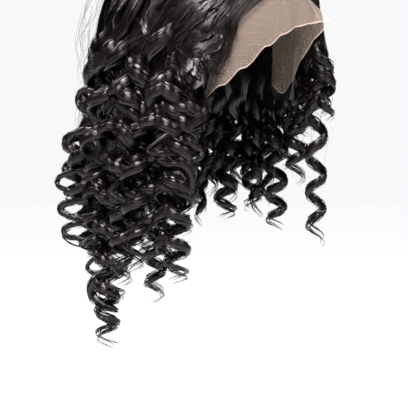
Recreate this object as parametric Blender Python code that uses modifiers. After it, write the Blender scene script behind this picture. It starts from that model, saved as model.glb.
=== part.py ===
"""Lace front wig with long spiral curls, in the form it has when worn.

The wearer faces -Y, the wearer's left is +X and +Z is up. The origin is the
inside of the cap at the crown, where the cap bears on the head. An azimuth is
counted in degrees from the face (0) towards the wearer's left (+90) or right
(-90), and the nape is at 180. Lengths are in metres.
"""

from math import acos, ceil, cos, hypot, pi, radians, sin

import bmesh
import bpy
from mathutils import Vector

# The head that the cap is cut for
HEAD_BREADTH = 0.152
HEAD_LENGTH = 0.194
CROWN_TO_WIDEST = 0.105
NAPE_TAPER_SHARE = 0.075
TAPER_DROP = 0.080

# Cap and lace
CAP_DEPTH = 0.183
CAP_WALL = 0.0012
LACE_DEPTH = 0.168
LACE_FLARE = 0.027
LACE_WALL = 0.0010
SEAM_GAP = 0.0005

# Hair on the crown
HAIR_RIM_DROP = 0.165
HAIR_DEPTH = 0.062
CROWN_THICKNESS = 0.034
HAIR_EDGE_LIP = 0.0030
HAIR_GAP = 0.0030
WAVE_DEPTH = 0.0085
WAVE_LENGTH = 0.062
WAVE_SWAY_RAD = 1.30
WAVES_AROUND = 12
PART_DEPTH = 0.007
PART_WIDTH_DEG = 9.0

# Hair hanging under the crown hair, behind the ringlets
UNDER_FRONT_WALL = 0.0042
UNDER_BACK_WALL = 0.0120
UNDER_FRONT_AZIMUTH = 86.0
UNDER_BACK_AZIMUTH = 150.0
UNDER_LENGTH = 0.088
UNDER_RIB_DEPTH = 0.0018
UNDER_RIBS = 26
UNDER_END_SWAY = 0.010

# Ringlets
LONGEST_RINGLET = 0.256
RINGLET_STAND = 0.050
RINGLET_GAP = 0.0006
LOCK_RADIUS = 0.0066
LOCK_END_SHARE = 0.42
LOCK_TIP_RADIUS = 0.0016
LOCK_TIP_TURNS = 0.6
COIL_PITCH = 0.034
COIL_END_SHARE = 0.75
COIL_START_TURNS = 0.75
SEAT_GAP = 0.0004
SEAT_SHARE = 0.55

# How finely the surfaces are cut
COLUMN_DEG = 6.0
CAP_ROWS = 6
LACE_ROWS = 6
HAIR_OUTER_ROWS = 12
HAIR_INNER_ROWS = 3
UNDER_ROWS = 4
COIL_STEPS = 8
MERGE = 1e-5

# The cap's edge on either side, as drops below the crown. From 0 to 88
# degrees it is the seam that the lace is sewn to. Shares of CAP_DEPTH.
CAP_EDGE = (
    # azimuth, drop
    (0, 0.12),
    (30, 0.14),
    (55, 0.23),
    (75, 0.39),
    (88, 0.58),
    (102, 0.57),
    (116, 0.66),
    (132, 0.82),
    (152, 0.96),
    (180, 1.00),
)

# The free edge of the untrimmed lace: its drop below the crown and how far
# it stands off the head, where the left corner has sprung outwards. Shares
# of LACE_DEPTH and LACE_FLARE.
LACE_ENDS = (-84.0, 84.0)
LACE_EDGE = (
    # azimuth, drop, stand
    (-84, 0.89, 0.00),
    (-70, 1.00, 0.07),
    (-56, 0.91, 0.11),
    (-43, 0.81, 0.11),
    (-27, 0.68, 0.15),
    (-15, 0.61, 0.11),
    (0, 0.56, 0.07),
    (16, 0.54, 0.22),
    (30, 0.53, 0.59),
    (42, 0.53, 1.00),
    (49, 0.61, 0.48),
    (56, 0.73, 0.11),
    (65, 0.87, 0.04),
    (74, 0.94, 0.04),
    (84, 0.89, 0.00),
)

# The crown hair's lower edge: the hairline over the lace, then the level
# where the hair breaks up into ringlets. Shares of HAIR_RIM_DROP.
HAIR_EDGE = (
    # azimuth, drop
    (-180, 1.00),
    (-66, 1.00),
    (-60, 0.92),
    (-53, 0.70),
    (-49, 0.52),
    (-44, 0.36),
    (-30, 0.29),
    (0, 0.26),
    (30, 0.29),
    (42, 0.36),
    (47, 0.58),
    (68, 0.58),
    (72, 1.00),
    (180, 1.00),
)

# How thick the hair lies halfway down to the head's widest level, at the
# widest level, and at the hair's lower edge. Shares of HAIR_DEPTH.
HAIR_THICKNESS = (
    # azimuth, halfway, widest, edge
    (-180, 0.82, 0.93, 0.97),
    (-140, 0.85, 0.95, 1.00),
    (-110, 0.74, 0.82, 0.86),
    (-85, 0.60, 0.62, 0.64),
    (-70, 0.52, 0.50, 0.48),
    (-57, 0.42, 0.33, 0.22),
    (-40, 0.37, 0.26, 0.13),
    (0, 0.33, 0.23, 0.10),
    (40, 0.37, 0.26, 0.15),
    (50, 0.45, 0.49, 0.46),
    (62, 0.50, 0.54, 0.50),
    (70, 0.50, 0.55, 0.52),
    (85, 0.56, 0.60, 0.60),
    (110, 0.70, 0.78, 0.80),
    (140, 0.80, 0.92, 0.97),
    (180, 0.82, 0.93, 0.97),
)

# The sections that the crown hair and the under hair are sewn in
SECTIONS = (
    # name, from azimuth, to azimuth
    ("right", -126.0, 0.0),
    ("left", 0.0, 126.0),
    ("back", 126.0, 234.0),
)

# One row for each ringlet, from the wearer's right temple round the back to
# the left temple. stand is how far its axis swings out from the under hair.
# The sizes are shares of LONGEST_RINGLET, RINGLET_STAND, LOCK_RADIUS, the
# room that the coil has between its neighbours, and COIL_PITCH.
RINGLETS = (
    # name, azimuth, length, stand, lock, coil, pitch, phase, hand
    ("right_temple", -76.0, 0.71, 0.60, 1.00, 0.66, 0.94, 200, 1),
    ("right_ear", -93.0, 0.58, 0.68, 1.06, 0.76, 1.06, 40, -1),
    ("right_long", -115.0, 1.00, 0.57, 1.00, 0.58, 1.00, 150, 1),
    ("right_behind_ear", -133.0, 0.49, 0.80, 1.06, 0.76, 1.06, 300, -1),
    ("right_back", -149.5, 0.44, 1.00, 1.00, 0.98, 0.92, 110, 1),
    ("back_right", -165.0, 0.60, 0.88, 0.96, 1.00, 1.05, 250, -1),
    ("back_middle", 180.0, 0.65, 0.94, 0.94, 0.96, 1.02, 20, 1),
    ("back_left", 165.0, 0.57, 0.88, 0.96, 1.00, 1.06, 160, -1),
    ("left_back", 149.0, 0.52, 0.84, 1.00, 0.96, 1.00, 310, 1),
    ("left_behind_ear", 134.0, 0.48, 0.66, 1.00, 0.96, 1.04, 60, -1),
    ("left_long", 120.0, 0.52, 0.50, 1.00, 0.98, 1.06, 210, 1),
    ("left_ear_back", 106.0, 0.47, 0.40, 0.94, 0.92, 1.02, 30, 1),
    ("left_ear", 92.5, 0.55, 0.33, 0.94, 0.96, 1.02, 350, -1),
    ("left_cheek", 78.5, 0.26, 0.36, 0.90, 0.90, 1.00, 130, 1),
    ("left_temple", 58.0, 0.87, 0.29, 0.92, 0.96, 1.30, 270, -1),
)

# name: (colour, roughness, metallic)
MATERIALS = {
    "hair": ((0.012, 0.009, 0.009, 1.0), 0.38, 0.0),
    "cap_net": ((0.020, 0.017, 0.017, 1.0), 0.85, 0.0),
    "lace": ((0.62, 0.47, 0.39, 1.0), 0.75, 0.0),
}


def clear_scene():
    """Removes whatever objects the scene starts with."""
    for obj in list(bpy.data.objects):
        bpy.data.objects.remove(obj, do_unlink=True)


def new_collection(name):
    """A collection of that name, linked to the scene."""
    collection = bpy.data.collections.new(name)
    bpy.context.scene.collection.children.link(collection)
    return collection


def material(name):
    """The Principled material of that name, made on first use."""
    found = bpy.data.materials.get(name)
    if found:
        return found
    colour, roughness, metallic = MATERIALS[name]
    made = bpy.data.materials.new(name)
    made.use_nodes = True
    shader = made.node_tree.nodes["Principled BSDF"]
    shader.inputs["Base Color"].default_value = colour
    shader.inputs["Roughness"].default_value = roughness
    shader.inputs["Metallic"].default_value = metallic
    return made


def smooth_step(share):
    """0 to 1 with a soft start and end."""
    share = min(1.0, max(0.0, share))
    return share * share * (3.0 - 2.0 * share)


def read_table(table, azimuth, column):
    """A table's column at an azimuth, eased between its rows."""
    if azimuth <= table[0][0]:
        return table[0][column]
    for low, high in zip(table, table[1:]):
        if azimuth <= high[0]:
            share = (azimuth - low[0]) / (high[0] - low[0])
            return low[column] + (high[column] - low[column]) * smooth_step(share)
    return table[-1][column]


def wrapped(azimuth):
    """The same azimuth, from -180 to 180 degrees."""
    return (azimuth + 180.0) % 360.0 - 180.0


def level_of_drop(drop):
    """A drop below the crown as a level: 0 at the crown, 1 at the widest."""
    if drop <= CROWN_TO_WIDEST:
        return acos(1.0 - drop / CROWN_TO_WIDEST) / (pi / 2)
    return 1.0 + (drop - CROWN_TO_WIDEST) / (CROWN_TO_WIDEST * pi / 2)


def drop_of_level(level):
    """The drop below the crown of a level."""
    if level <= 1.0:
        return CROWN_TO_WIDEST * (1.0 - cos(level * pi / 2))
    return CROWN_TO_WIDEST + (level - 1.0) * CROWN_TO_WIDEST * pi / 2


def head_share(level):
    """The head's plan size at a level, as a share of its widest size."""
    if level <= 1.0:
        return sin(level * pi / 2)
    below = (drop_of_level(level) - CROWN_TO_WIDEST) / TAPER_DROP
    return 1.0 - NAPE_TAPER_SHARE * below * below


def head_point(azimuth, level, offset=0.0):
    """A point that stands off the head's surface by an offset."""
    turn = radians(azimuth)
    widest = Vector((HEAD_BREADTH / 2 * sin(turn), -HEAD_LENGTH / 2 * cos(turn), 0.0))
    lean = min(level, 1.0) * pi / 2
    point = widest * head_share(level) + widest.normalized() * offset * sin(lean)
    point.z = offset * cos(lean) - drop_of_level(level)
    return point


def plan_direction(azimuth):
    """The level direction in which a point at an azimuth lies."""
    point = head_point(azimuth, 1.0)
    return Vector((point.x, point.y, 0.0)).normalized()


def cap_edge_level(azimuth):
    """The level of the cap's edge at an azimuth."""
    return level_of_drop(CAP_DEPTH * read_table(CAP_EDGE, abs(wrapped(azimuth)), 1))


def lace_edge_level(azimuth):
    """The level of the lace's free edge at an azimuth."""
    return level_of_drop(LACE_DEPTH * read_table(LACE_EDGE, azimuth, 1))


def lace_stand(azimuth, level):
    """How far the lace stands off the head at a place."""
    azimuth = wrapped(azimuth)
    if not LACE_ENDS[0] <= azimuth <= LACE_ENDS[1]:
        return 0.0
    seam = cap_edge_level(azimuth)
    share = (level - seam) / (lace_edge_level(azimuth) - seam)
    share = min(1.0, max(0.0, share))
    return LACE_FLARE * read_table(LACE_EDGE, azimuth, 2) * share**2


def hair_edge_drop(azimuth):
    """How far below the crown the crown hair ends at an azimuth."""
    return HAIR_RIM_DROP * read_table(HAIR_EDGE, wrapped(azimuth), 1)


def hair_thickness(azimuth, level):
    """How thick the crown hair lies at a place, before its waves."""
    azimuth = wrapped(azimuth)
    halfway, widest, edge = (
        HAIR_DEPTH * read_table(HAIR_THICKNESS, azimuth, column) for column in (1, 2, 3)
    )
    edge_level = level_of_drop(hair_edge_drop(azimuth))
    if level < 0.5:
        body = CROWN_THICKNESS + (halfway - CROWN_THICKNESS) * level / 0.5
    else:
        body = halfway + (widest - halfway) * min(1.0, (level - 0.5) / 0.5)
    near_edge = smooth_step((level - 0.45 * edge_level) / (0.55 * edge_level))
    return body + (edge - body) * near_edge


def hair_wave(azimuth, level):
    """The relief of the waved locks at a place, fading at the crown."""
    phase = 2 * pi * drop_of_level(level) / WAVE_LENGTH
    sway = WAVE_SWAY_RAD * sin(phase + radians(azimuth))
    ridge = sin(WAVES_AROUND * radians(azimuth) + sway)
    roll = cos(phase + 2.0 * radians(azimuth))
    edge_level = level_of_drop(hair_edge_drop(azimuth))
    at_edge = smooth_step(level / edge_level * 4 - 3)
    fade = smooth_step(level / 0.6) * (1.0 - 0.6 * at_edge)
    room = min(1.0, hair_thickness(azimuth, level) / CROWN_THICKNESS)
    return WAVE_DEPTH * fade * room * (0.62 * ridge + 0.38 * roll)


def part_groove(azimuth, level):
    """The dip along the parting, from the hairline over to the crown."""
    across = smooth_step(abs(wrapped(azimuth)) / PART_WIDTH_DEG)
    return -PART_DEPTH * (1.0 - across) * smooth_step(level / 0.25)


def facet_sag(azimuth):
    """How far the flat facets of cap, lace and hair can lie off the curve."""
    half_column = radians(COLUMN_DEG / 2)
    half_row = level_of_drop(hair_edge_drop(azimuth)) * pi / 4 / HAIR_INNER_ROWS
    return HEAD_LENGTH / 2 * (2.0 - cos(half_column) - cos(half_row))


def hair_inside(azimuth):
    """How far the crown hair's inner side stands off the head."""
    return max(CAP_WALL, LACE_WALL) + HAIR_GAP + facet_sag(azimuth)


def hair_outline(azimuth):
    """The crown hair's closed outline at an azimuth, from crown to crown."""
    edge_level = level_of_drop(hair_edge_drop(azimuth))
    inside = hair_inside(azimuth)
    outer, inner = [], []
    for row in range(HAIR_OUTER_ROWS + 1):
        level = edge_level * row / HAIR_OUTER_ROWS
        stand = hair_thickness(azimuth, level)
        stand += hair_wave(azimuth, level) + part_groove(azimuth, level)
        outer.append(head_point(azimuth, level, max(stand, inside + HAIR_EDGE_LIP)))
    for row in range(HAIR_INNER_ROWS, -1, -1):
        level = edge_level * row / HAIR_INNER_ROWS
        inner.append(head_point(azimuth, level, inside + lace_stand(azimuth, level)))
    outer[-1].z = inner[0].z
    return outer + inner


def rim_radii(azimuth):
    """The crown hair's inner and outer plan radius at its lower edge."""
    level = level_of_drop(hair_edge_drop(azimuth))
    inner = head_point(azimuth, level, hair_inside(azimuth))
    outer = head_point(azimuth, level, hair_thickness(azimuth, level))
    return hypot(inner.x, inner.y), hypot(outer.x, outer.y)


def seat_height(azimuth):
    """The height at which hair hangs clear of the crown hair's flat rim."""
    level = level_of_drop(hair_edge_drop(azimuth))
    stand = hair_inside(azimuth) + lace_stand(azimuth, level)
    return head_point(azimuth, level, stand).z - SEAT_GAP


def under_wall(azimuth):
    """The under hair's thickness at its top, which grows towards the back."""
    beyond = abs(wrapped(azimuth)) - UNDER_FRONT_AZIMUTH
    if beyond < 0.0:
        return 0.0
    share = smooth_step(beyond / (UNDER_BACK_AZIMUTH - UNDER_FRONT_AZIMUTH))
    return UNDER_FRONT_WALL + (UNDER_BACK_WALL - UNDER_FRONT_WALL) * share


def under_outline(azimuth):
    """The under hair's closed outline at an azimuth."""
    inner, _ = rim_radii(azimuth)
    towards = plan_direction(azimuth)
    top = seat_height(azimuth)
    drop = UNDER_LENGTH - UNDER_END_SWAY * sin(5 * radians(azimuth) + 0.6)
    rib = UNDER_RIB_DEPTH * abs(sin(UNDER_RIBS * radians(azimuth)))
    outline = []
    for row in range(UNDER_ROWS + 1):
        share = row / UNDER_ROWS
        wall = under_wall(azimuth) * (1.0 - 0.3 * share) - rib * min(1.0, 2 * share)
        outline.append(towards * (inner + wall) + Vector((0, 0, top - drop * share)))
    outline.append(towards * inner + Vector((0, 0, top - drop)))
    outline.append(towards * inner + Vector((0, 0, top)))
    return outline


def link(obj, collection, finish):
    """Gives an object its material and puts it in the collection."""
    obj.data.materials.append(material(finish))
    collection.objects.link(obj)


def finish_mesh(bm, name):
    """An object from a bmesh, with merged points and outward faces."""
    bmesh.ops.remove_doubles(bm, verts=bm.verts, dist=MERGE)
    bmesh.ops.recalc_face_normals(bm, faces=bm.faces)
    mesh = bpy.data.meshes.new(name)
    bm.to_mesh(mesh)
    bm.free()
    mesh.shade_smooth()
    return bpy.data.objects.new(name, mesh)


def sheet(name, columns, rows, place, wall):
    """A sheet with a wall, bent from a grid by place(across, down)."""
    bm = bmesh.new()
    bmesh.ops.create_grid(bm, x_segments=columns, y_segments=rows, size=0.5)
    for vert in bm.verts:
        vert.co = place(vert.co.x + 0.5, 0.5 - vert.co.y)
    obj = finish_mesh(bm, name)
    solidify = obj.modifiers.new("wall", "SOLIDIFY")
    solidify.thickness = wall
    solidify.offset = 1.0
    solidify.use_even_offset = False
    return obj


def loft(name, outlines):
    """A solid through closed outlines of equal count, capped at both ends."""
    bm = bmesh.new()
    rings = [[bm.verts.new(point) for point in outline] for outline in outlines]
    count = len(rings[0])
    for near, far in zip(rings, rings[1:]):
        for i in range(count):
            j = (i + 1) % count
            bm.faces.new((near[i], near[j], far[j], far[i]))
    bm.faces.new(rings[0])
    bm.faces.new(reversed(rings[-1]))
    return finish_mesh(bm, name)


def make_cap(collection):
    """The stretch-net cap: a hollow dome cut round the ears to the nape."""

    def place(across, down):
        azimuth = 360.0 * across - 180.0
        return head_point(azimuth, cap_edge_level(azimuth) * down)

    cap = sheet("wig_cap", round(360.0 / COLUMN_DEG), CAP_ROWS, place, CAP_WALL)
    link(cap, collection, "cap_net")


def make_lace(collection):
    """The sheer lace panel, from the cap's front seam to its free edge."""
    low, high = LACE_ENDS
    gap = SEAM_GAP / (CROWN_TO_WIDEST * pi / 2)

    def place(across, down):
        azimuth = low + (high - low) * across
        seam = cap_edge_level(azimuth) + gap
        level = seam + (lace_edge_level(azimuth) - seam) * down
        return head_point(azimuth, level, lace_stand(azimuth, level))

    columns = round((high - low) / COLUMN_DEG)
    lace = sheet("lace_front", columns, LACE_ROWS, place, LACE_WALL)
    link(lace, collection, "lace")


def azimuths_between(start, end, step):
    """Evenly spaced azimuths from start to end, about a step apart."""
    count = max(2, ceil((end - start) / step))
    return [start + (end - start) * i / count for i in range(count + 1)]


def seam_shift(start, end):
    """The shift that opens the seam gap between neighbouring sections."""
    middle = radians((start + end) / 2)
    spread = sin(radians((end - start) / 2))
    return Vector((sin(middle), -cos(middle), 0.0)) * (SEAM_GAP / 2 / spread)


def make_sections(collection, name, outline_at, ends, step):
    """Lofts each section between its ends through the outlines at azimuths."""
    for section, start, end in SECTIONS:
        shift = seam_shift(start, end)
        low, high = ends(start, end)
        outlines = [
            [point + shift for point in outline_at(azimuth)]
            for azimuth in azimuths_between(low, high, step)
        ]
        link(loft(f"{section}_{name}", outlines), collection, "hair")


def make_crown_hair(collection):
    """The waved hair on the crown, sewn in three sections round the head."""

    def ends(start, end):
        return start, end

    make_sections(collection, "crown_hair", hair_outline, ends, COLUMN_DEG)


def make_under_hair(collection):
    """The inner layer that hangs below the crown hair, behind the ringlets."""

    def ends(start, end):
        low = max(start, UNDER_FRONT_AZIMUTH) if start >= 0.0 else start
        high = min(end, -UNDER_FRONT_AZIMUTH) if end <= 0.0 else end
        return low, high

    make_sections(collection, "under_hair", under_outline, ends, COLUMN_DEG / 2)


def ringlet_axis(row):
    """The plan position of a ringlet's axis, once it has swung out."""
    azimuth, stand = row[1], row[3]
    inner, _ = rim_radii(azimuth)
    radius = inner + under_wall(azimuth) + RINGLET_STAND * stand
    return plan_direction(azimuth) * radius


def coil_room(row):
    """The largest coil radius that clears the neighbours and the under hair."""
    axis = ringlet_axis(row)
    others = [ringlet_axis(other) for other in RINGLETS if other is not row]
    between = min((axis - other).length for other in others) / 2
    behind = RINGLET_STAND * row[3]
    return min(between, behind) - RINGLET_GAP - LOCK_RADIUS * row[4]


def ringlet_path(row):
    """The centre line of a ringlet and the lock's radius along it."""
    _, azimuth, length, _, lock, coil, pitch, phase, hand = row
    inner, outer = rim_radii(azimuth)
    wall = under_wall(azimuth)
    seat_radius = inner + wall + (outer - inner - wall) * SEAT_SHARE
    seat = plan_direction(azimuth) * seat_radius
    top = seat_height(azimuth)
    swing = ringlet_axis(row) - seat
    radius = coil_room(row) * coil
    turns = LONGEST_RINGLET * length / (COIL_PITCH * pitch)
    steps = ceil(turns * COIL_STEPS)
    path = []
    for step in range(steps + 1):
        share = step / steps
        turn = turns * share
        opened = smooth_step(turn / COIL_START_TURNS)
        reach = radius * opened * (1.0 - (1.0 - COIL_END_SHARE) * share**3)
        angle = radians(phase) + hand * 2 * pi * turn
        point = seat + swing * smooth_step(share * 2.2)
        point += Vector((reach * cos(angle), reach * sin(angle), 0.0))
        point.z = top - LONGEST_RINGLET * length * share
        thinned = LOCK_RADIUS * lock * (1.0 - (1.0 - LOCK_END_SHARE) * share)
        pointed = smooth_step((turns - turn) / LOCK_TIP_TURNS)
        path.append((point, LOCK_TIP_RADIUS + (thinned - LOCK_TIP_RADIUS) * pointed))
    path[0][0].xy = path[1][0].xy
    return path


def make_ringlets(collection):
    """The spiral locks that hang from the crown hair's lower edge."""
    for row in RINGLETS:
        curve = bpy.data.curves.new(row[0] + "_ringlet", "CURVE")
        curve.dimensions = "3D"
        curve.bevel_depth = LOCK_RADIUS
        curve.bevel_resolution = 1
        curve.use_fill_caps = True
        path = ringlet_path(row)
        spline = curve.splines.new("POLY")
        spline.points.add(len(path) - 1)
        for point, (place, radius) in zip(spline.points, path):
            point.co = (*place, 1.0)
            point.radius = radius / LOCK_RADIUS
        link(bpy.data.objects.new(curve.name, curve), collection, "hair")


def main():
    clear_scene()
    wig = new_collection("lace_front_wig")
    make_cap(wig)
    make_lace(wig)
    make_crown_hair(wig)
    make_under_hair(wig)
    make_ringlets(wig)


main()
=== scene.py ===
"""Looks of a lace front wig with long spiral curls, held in its worn form.

Every lock is a dark core wrapped in thin ribbons of hair that follow a comb
line from the parting, over the head and down into a curl. Lengths are in
metres, azimuths in degrees from the front (0, at -Y) to the left (+90, at +X).
"""

import logging
from dataclasses import dataclass, field
from enum import Enum
from math import pi

import bpy
import numpy as np
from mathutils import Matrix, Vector


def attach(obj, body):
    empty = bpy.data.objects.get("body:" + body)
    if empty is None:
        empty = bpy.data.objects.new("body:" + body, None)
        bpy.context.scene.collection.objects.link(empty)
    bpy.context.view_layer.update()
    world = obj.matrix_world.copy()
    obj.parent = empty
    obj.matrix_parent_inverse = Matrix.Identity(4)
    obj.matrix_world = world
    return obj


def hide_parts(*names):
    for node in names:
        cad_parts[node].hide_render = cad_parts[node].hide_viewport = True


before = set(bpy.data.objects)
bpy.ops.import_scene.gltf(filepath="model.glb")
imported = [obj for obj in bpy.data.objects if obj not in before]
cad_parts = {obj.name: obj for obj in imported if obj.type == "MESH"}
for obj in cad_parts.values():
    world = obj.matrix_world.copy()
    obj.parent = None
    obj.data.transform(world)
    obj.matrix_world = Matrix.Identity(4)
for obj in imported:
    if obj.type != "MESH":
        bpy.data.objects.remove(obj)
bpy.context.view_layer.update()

log = logging.getLogger("wig")

Array = np.ndarray


def smooth(share: Array | float) -> Array:
    """Eases a share from 0 to 1 with a soft start and end."""
    share = np.clip(share, 0.0, 1.0)
    return share * share * (3.0 - 2.0 * share)


def unit(vectors: Array) -> Array:
    """Scales each vector in an array to length 1."""
    return vectors / np.maximum(np.linalg.norm(vectors, axis=-1, keepdims=True), 1e-9)


def tightened(turned: Array, tighten: float) -> Array:
    """Gives the share of a curl's length at shares of its turns.

    Args:
        turned: Shares of the turns, from 0 to 1.
        tighten: 0 for even turns, towards 1 the tighter they get at the tip.

    Returns:
        The shares of the length.
    """
    loose = 1.0 - tighten
    return (np.sqrt(loose**2 + 4.0 * tighten * turned) - loose) / (2.0 * tighten)


def distances(paths: Array) -> Array:
    """Gives how far along its path each point lies, from 0 at the start."""
    steps = np.linalg.norm(np.diff(paths, axis=-2), axis=-1)
    return np.concatenate([np.zeros_like(steps[..., :1]), np.cumsum(steps, axis=-1)], axis=-1)


def wrapped(azimuth: Array | float) -> Array:
    """Brings azimuths into the range from -180 to 180 degrees."""
    return (np.asarray(azimuth, float) + 180.0) % 360.0 - 180.0


def read_table(table: tuple, azimuth: Array | float, column: int) -> Array:
    """Reads a table's column at azimuths, eased between its rows.

    Args:
        table: Rows that start with an azimuth, in rising order.
        azimuth: Where to read, in degrees.
        column: Which column to read.

    Returns:
        The eased values, one for each azimuth.
    """
    rows = np.array(table, float)
    azimuth = np.clip(np.asarray(azimuth, float), rows[0, 0], rows[-1, 0])
    low = np.clip(np.searchsorted(rows[:, 0], azimuth, side="right") - 1, 0, len(rows) - 2)
    share = smooth((azimuth - rows[low, 0]) / (rows[low + 1, 0] - rows[low, 0]))
    return rows[low, column] + (rows[low + 1, column] - rows[low, column]) * share


class Slot(Enum):
    """The record's material slots."""

    HAIR = "hair"
    CAP_NET = "cap_net"
    LACE = "lace"


class Hand(Enum):
    """Which way a curl winds on its way down."""

    LEFT = -1
    RIGHT = 1


@dataclass(frozen=True)
class HeadForm:
    """The head that the cap is cut for, as the part's source has it."""

    breadth: float = 0.152
    length: float = 0.194
    crown_to_widest: float = 0.105
    nape_taper_share: float = 0.075
    taper_drop: float = 0.080

    def level_of_drop(self, drop: Array | float) -> Array:
        """Turns a drop below the crown into a level.

        Args:
            drop: How far below the crown.

        Returns:
            The level, 0 at the crown and 1 at the widest place.
        """
        drop = np.asarray(drop, float)
        dome = np.arccos(np.clip(1.0 - drop / self.crown_to_widest, -1.0, 1.0)) / (pi / 2)
        below = 1.0 + (drop - self.crown_to_widest) / (self.crown_to_widest * pi / 2)
        return np.where(drop <= self.crown_to_widest, dome, below)

    def drop_of_level(self, level: Array | float) -> Array:
        """Turns a level into its drop below the crown.

        Args:
            level: 0 at the crown, 1 at the widest place.

        Returns:
            How far below the crown it lies.
        """
        level = np.asarray(level, float)
        dome = self.crown_to_widest * (1.0 - np.cos(level * pi / 2))
        below = self.crown_to_widest + (level - 1.0) * self.crown_to_widest * pi / 2
        return np.where(level <= 1.0, dome, below)

    def share(self, level: Array | float) -> Array:
        """Gives the plan size at a level.

        Args:
            level: 0 at the crown, 1 at the widest place.

        Returns:
            The size as a share of the widest.
        """
        level = np.asarray(level, float)
        beyond = (self.drop_of_level(level) - self.crown_to_widest) / self.taper_drop
        below = 1.0 - self.nape_taper_share * beyond**2
        return np.where(level <= 1.0, np.sin(level * pi / 2), below)

    def point(self, azimuth: Array | float, level: Array | float, offset: Array | float) -> Array:
        """Finds points that stand off the head.

        Args:
            azimuth: Degrees from the front.
            level: 0 at the crown, 1 at the widest level.
            offset: How far the point stands off.

        Returns:
            The points, with a last axis of three.
        """
        turn = np.radians(azimuth)
        wide, deep = self.breadth / 2 * np.sin(turn), -self.length / 2 * np.cos(turn)
        lean = np.minimum(level, 1.0) * pi / 2
        size = self.share(level) + offset * np.sin(lean) / np.hypot(wide, deep)
        height = offset * np.cos(lean) - self.drop_of_level(level)
        return np.stack(np.broadcast_arrays(wide * size, deep * size, height), -1)

    def hanging(self, azimuth: Array | float, drop: Array | float, offset: Array | float) -> Array:
        """Finds points that follow the dome, then hang straight down.

        Args:
            azimuth: Degrees from the front.
            drop: How far below the crown.
            offset: How far the point stands off.

        Returns:
            The points, with a last axis of three.
        """
        drop = np.asarray(drop, float)
        level = np.minimum(self.level_of_drop(drop), 1.0)
        points = self.point(azimuth, level, offset)
        points[..., 2] -= np.maximum(drop - self.crown_to_widest, 0.0)
        return points

    def outward(self, azimuth: Array | float, level: Array | float) -> Array:
        """Gives the outward direction at places on the head."""
        return unit(self.point(azimuth, level, 0.06) - self.point(azimuth, level, 0.0))


@dataclass(frozen=True)
class CapForm:
    """The cap's edge and the lace sewn to it, as the part's source has them."""

    head: HeadForm = HeadForm()
    depth: float = 0.183
    lace_depth: float = 0.168
    lace_flare: float = 0.027
    lace_ends: tuple = (-84.0, 84.0)
    edge: tuple = (
        (0, 0.12), (30, 0.14), (55, 0.23), (75, 0.39), (88, 0.58),
        (102, 0.57), (116, 0.66), (132, 0.82), (152, 0.96), (180, 1.00),
    )
    lace_edge: tuple = (
        (-84, 0.89, 0.00), (-70, 1.00, 0.07), (-56, 0.91, 0.11), (-43, 0.81, 0.11),
        (-27, 0.68, 0.15), (-15, 0.61, 0.11), (0, 0.56, 0.07), (16, 0.54, 0.22),
        (30, 0.53, 0.59), (42, 0.53, 1.00), (49, 0.61, 0.48), (56, 0.73, 0.11),
        (65, 0.87, 0.04), (74, 0.94, 0.04), (84, 0.89, 0.00),
    )

    def seam_level(self, azimuth: Array | float) -> Array:
        """Gives the level of the cap's edge."""
        return self.head.level_of_drop(self.depth * read_table(self.edge, np.abs(wrapped(azimuth)), 1))

    def lace_level(self, azimuth: Array | float) -> Array:
        """Gives the level of the lace's free edge."""
        return self.head.level_of_drop(self.lace_depth * read_table(self.lace_edge, azimuth, 1))

    def lace_stand(self, azimuth: Array | float, level: Array | float) -> Array:
        """Gives how far the lace stands off the head.

        Args:
            azimuth: Degrees from the front.
            level: 0 at the crown, 1 at the widest place.

        Returns:
            The distance off the head, 0 beyond the lace's ends.
        """
        azimuth = wrapped(azimuth)
        seam = self.seam_level(azimuth)
        share = np.clip((level - seam) / (self.lace_level(azimuth) - seam), 0.0, 1.0)
        inside = (azimuth >= self.lace_ends[0]) & (azimuth <= self.lace_ends[1])
        return np.where(inside, self.lace_flare * read_table(self.lace_edge, azimuth, 2) * share**2, 0.0)


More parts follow.
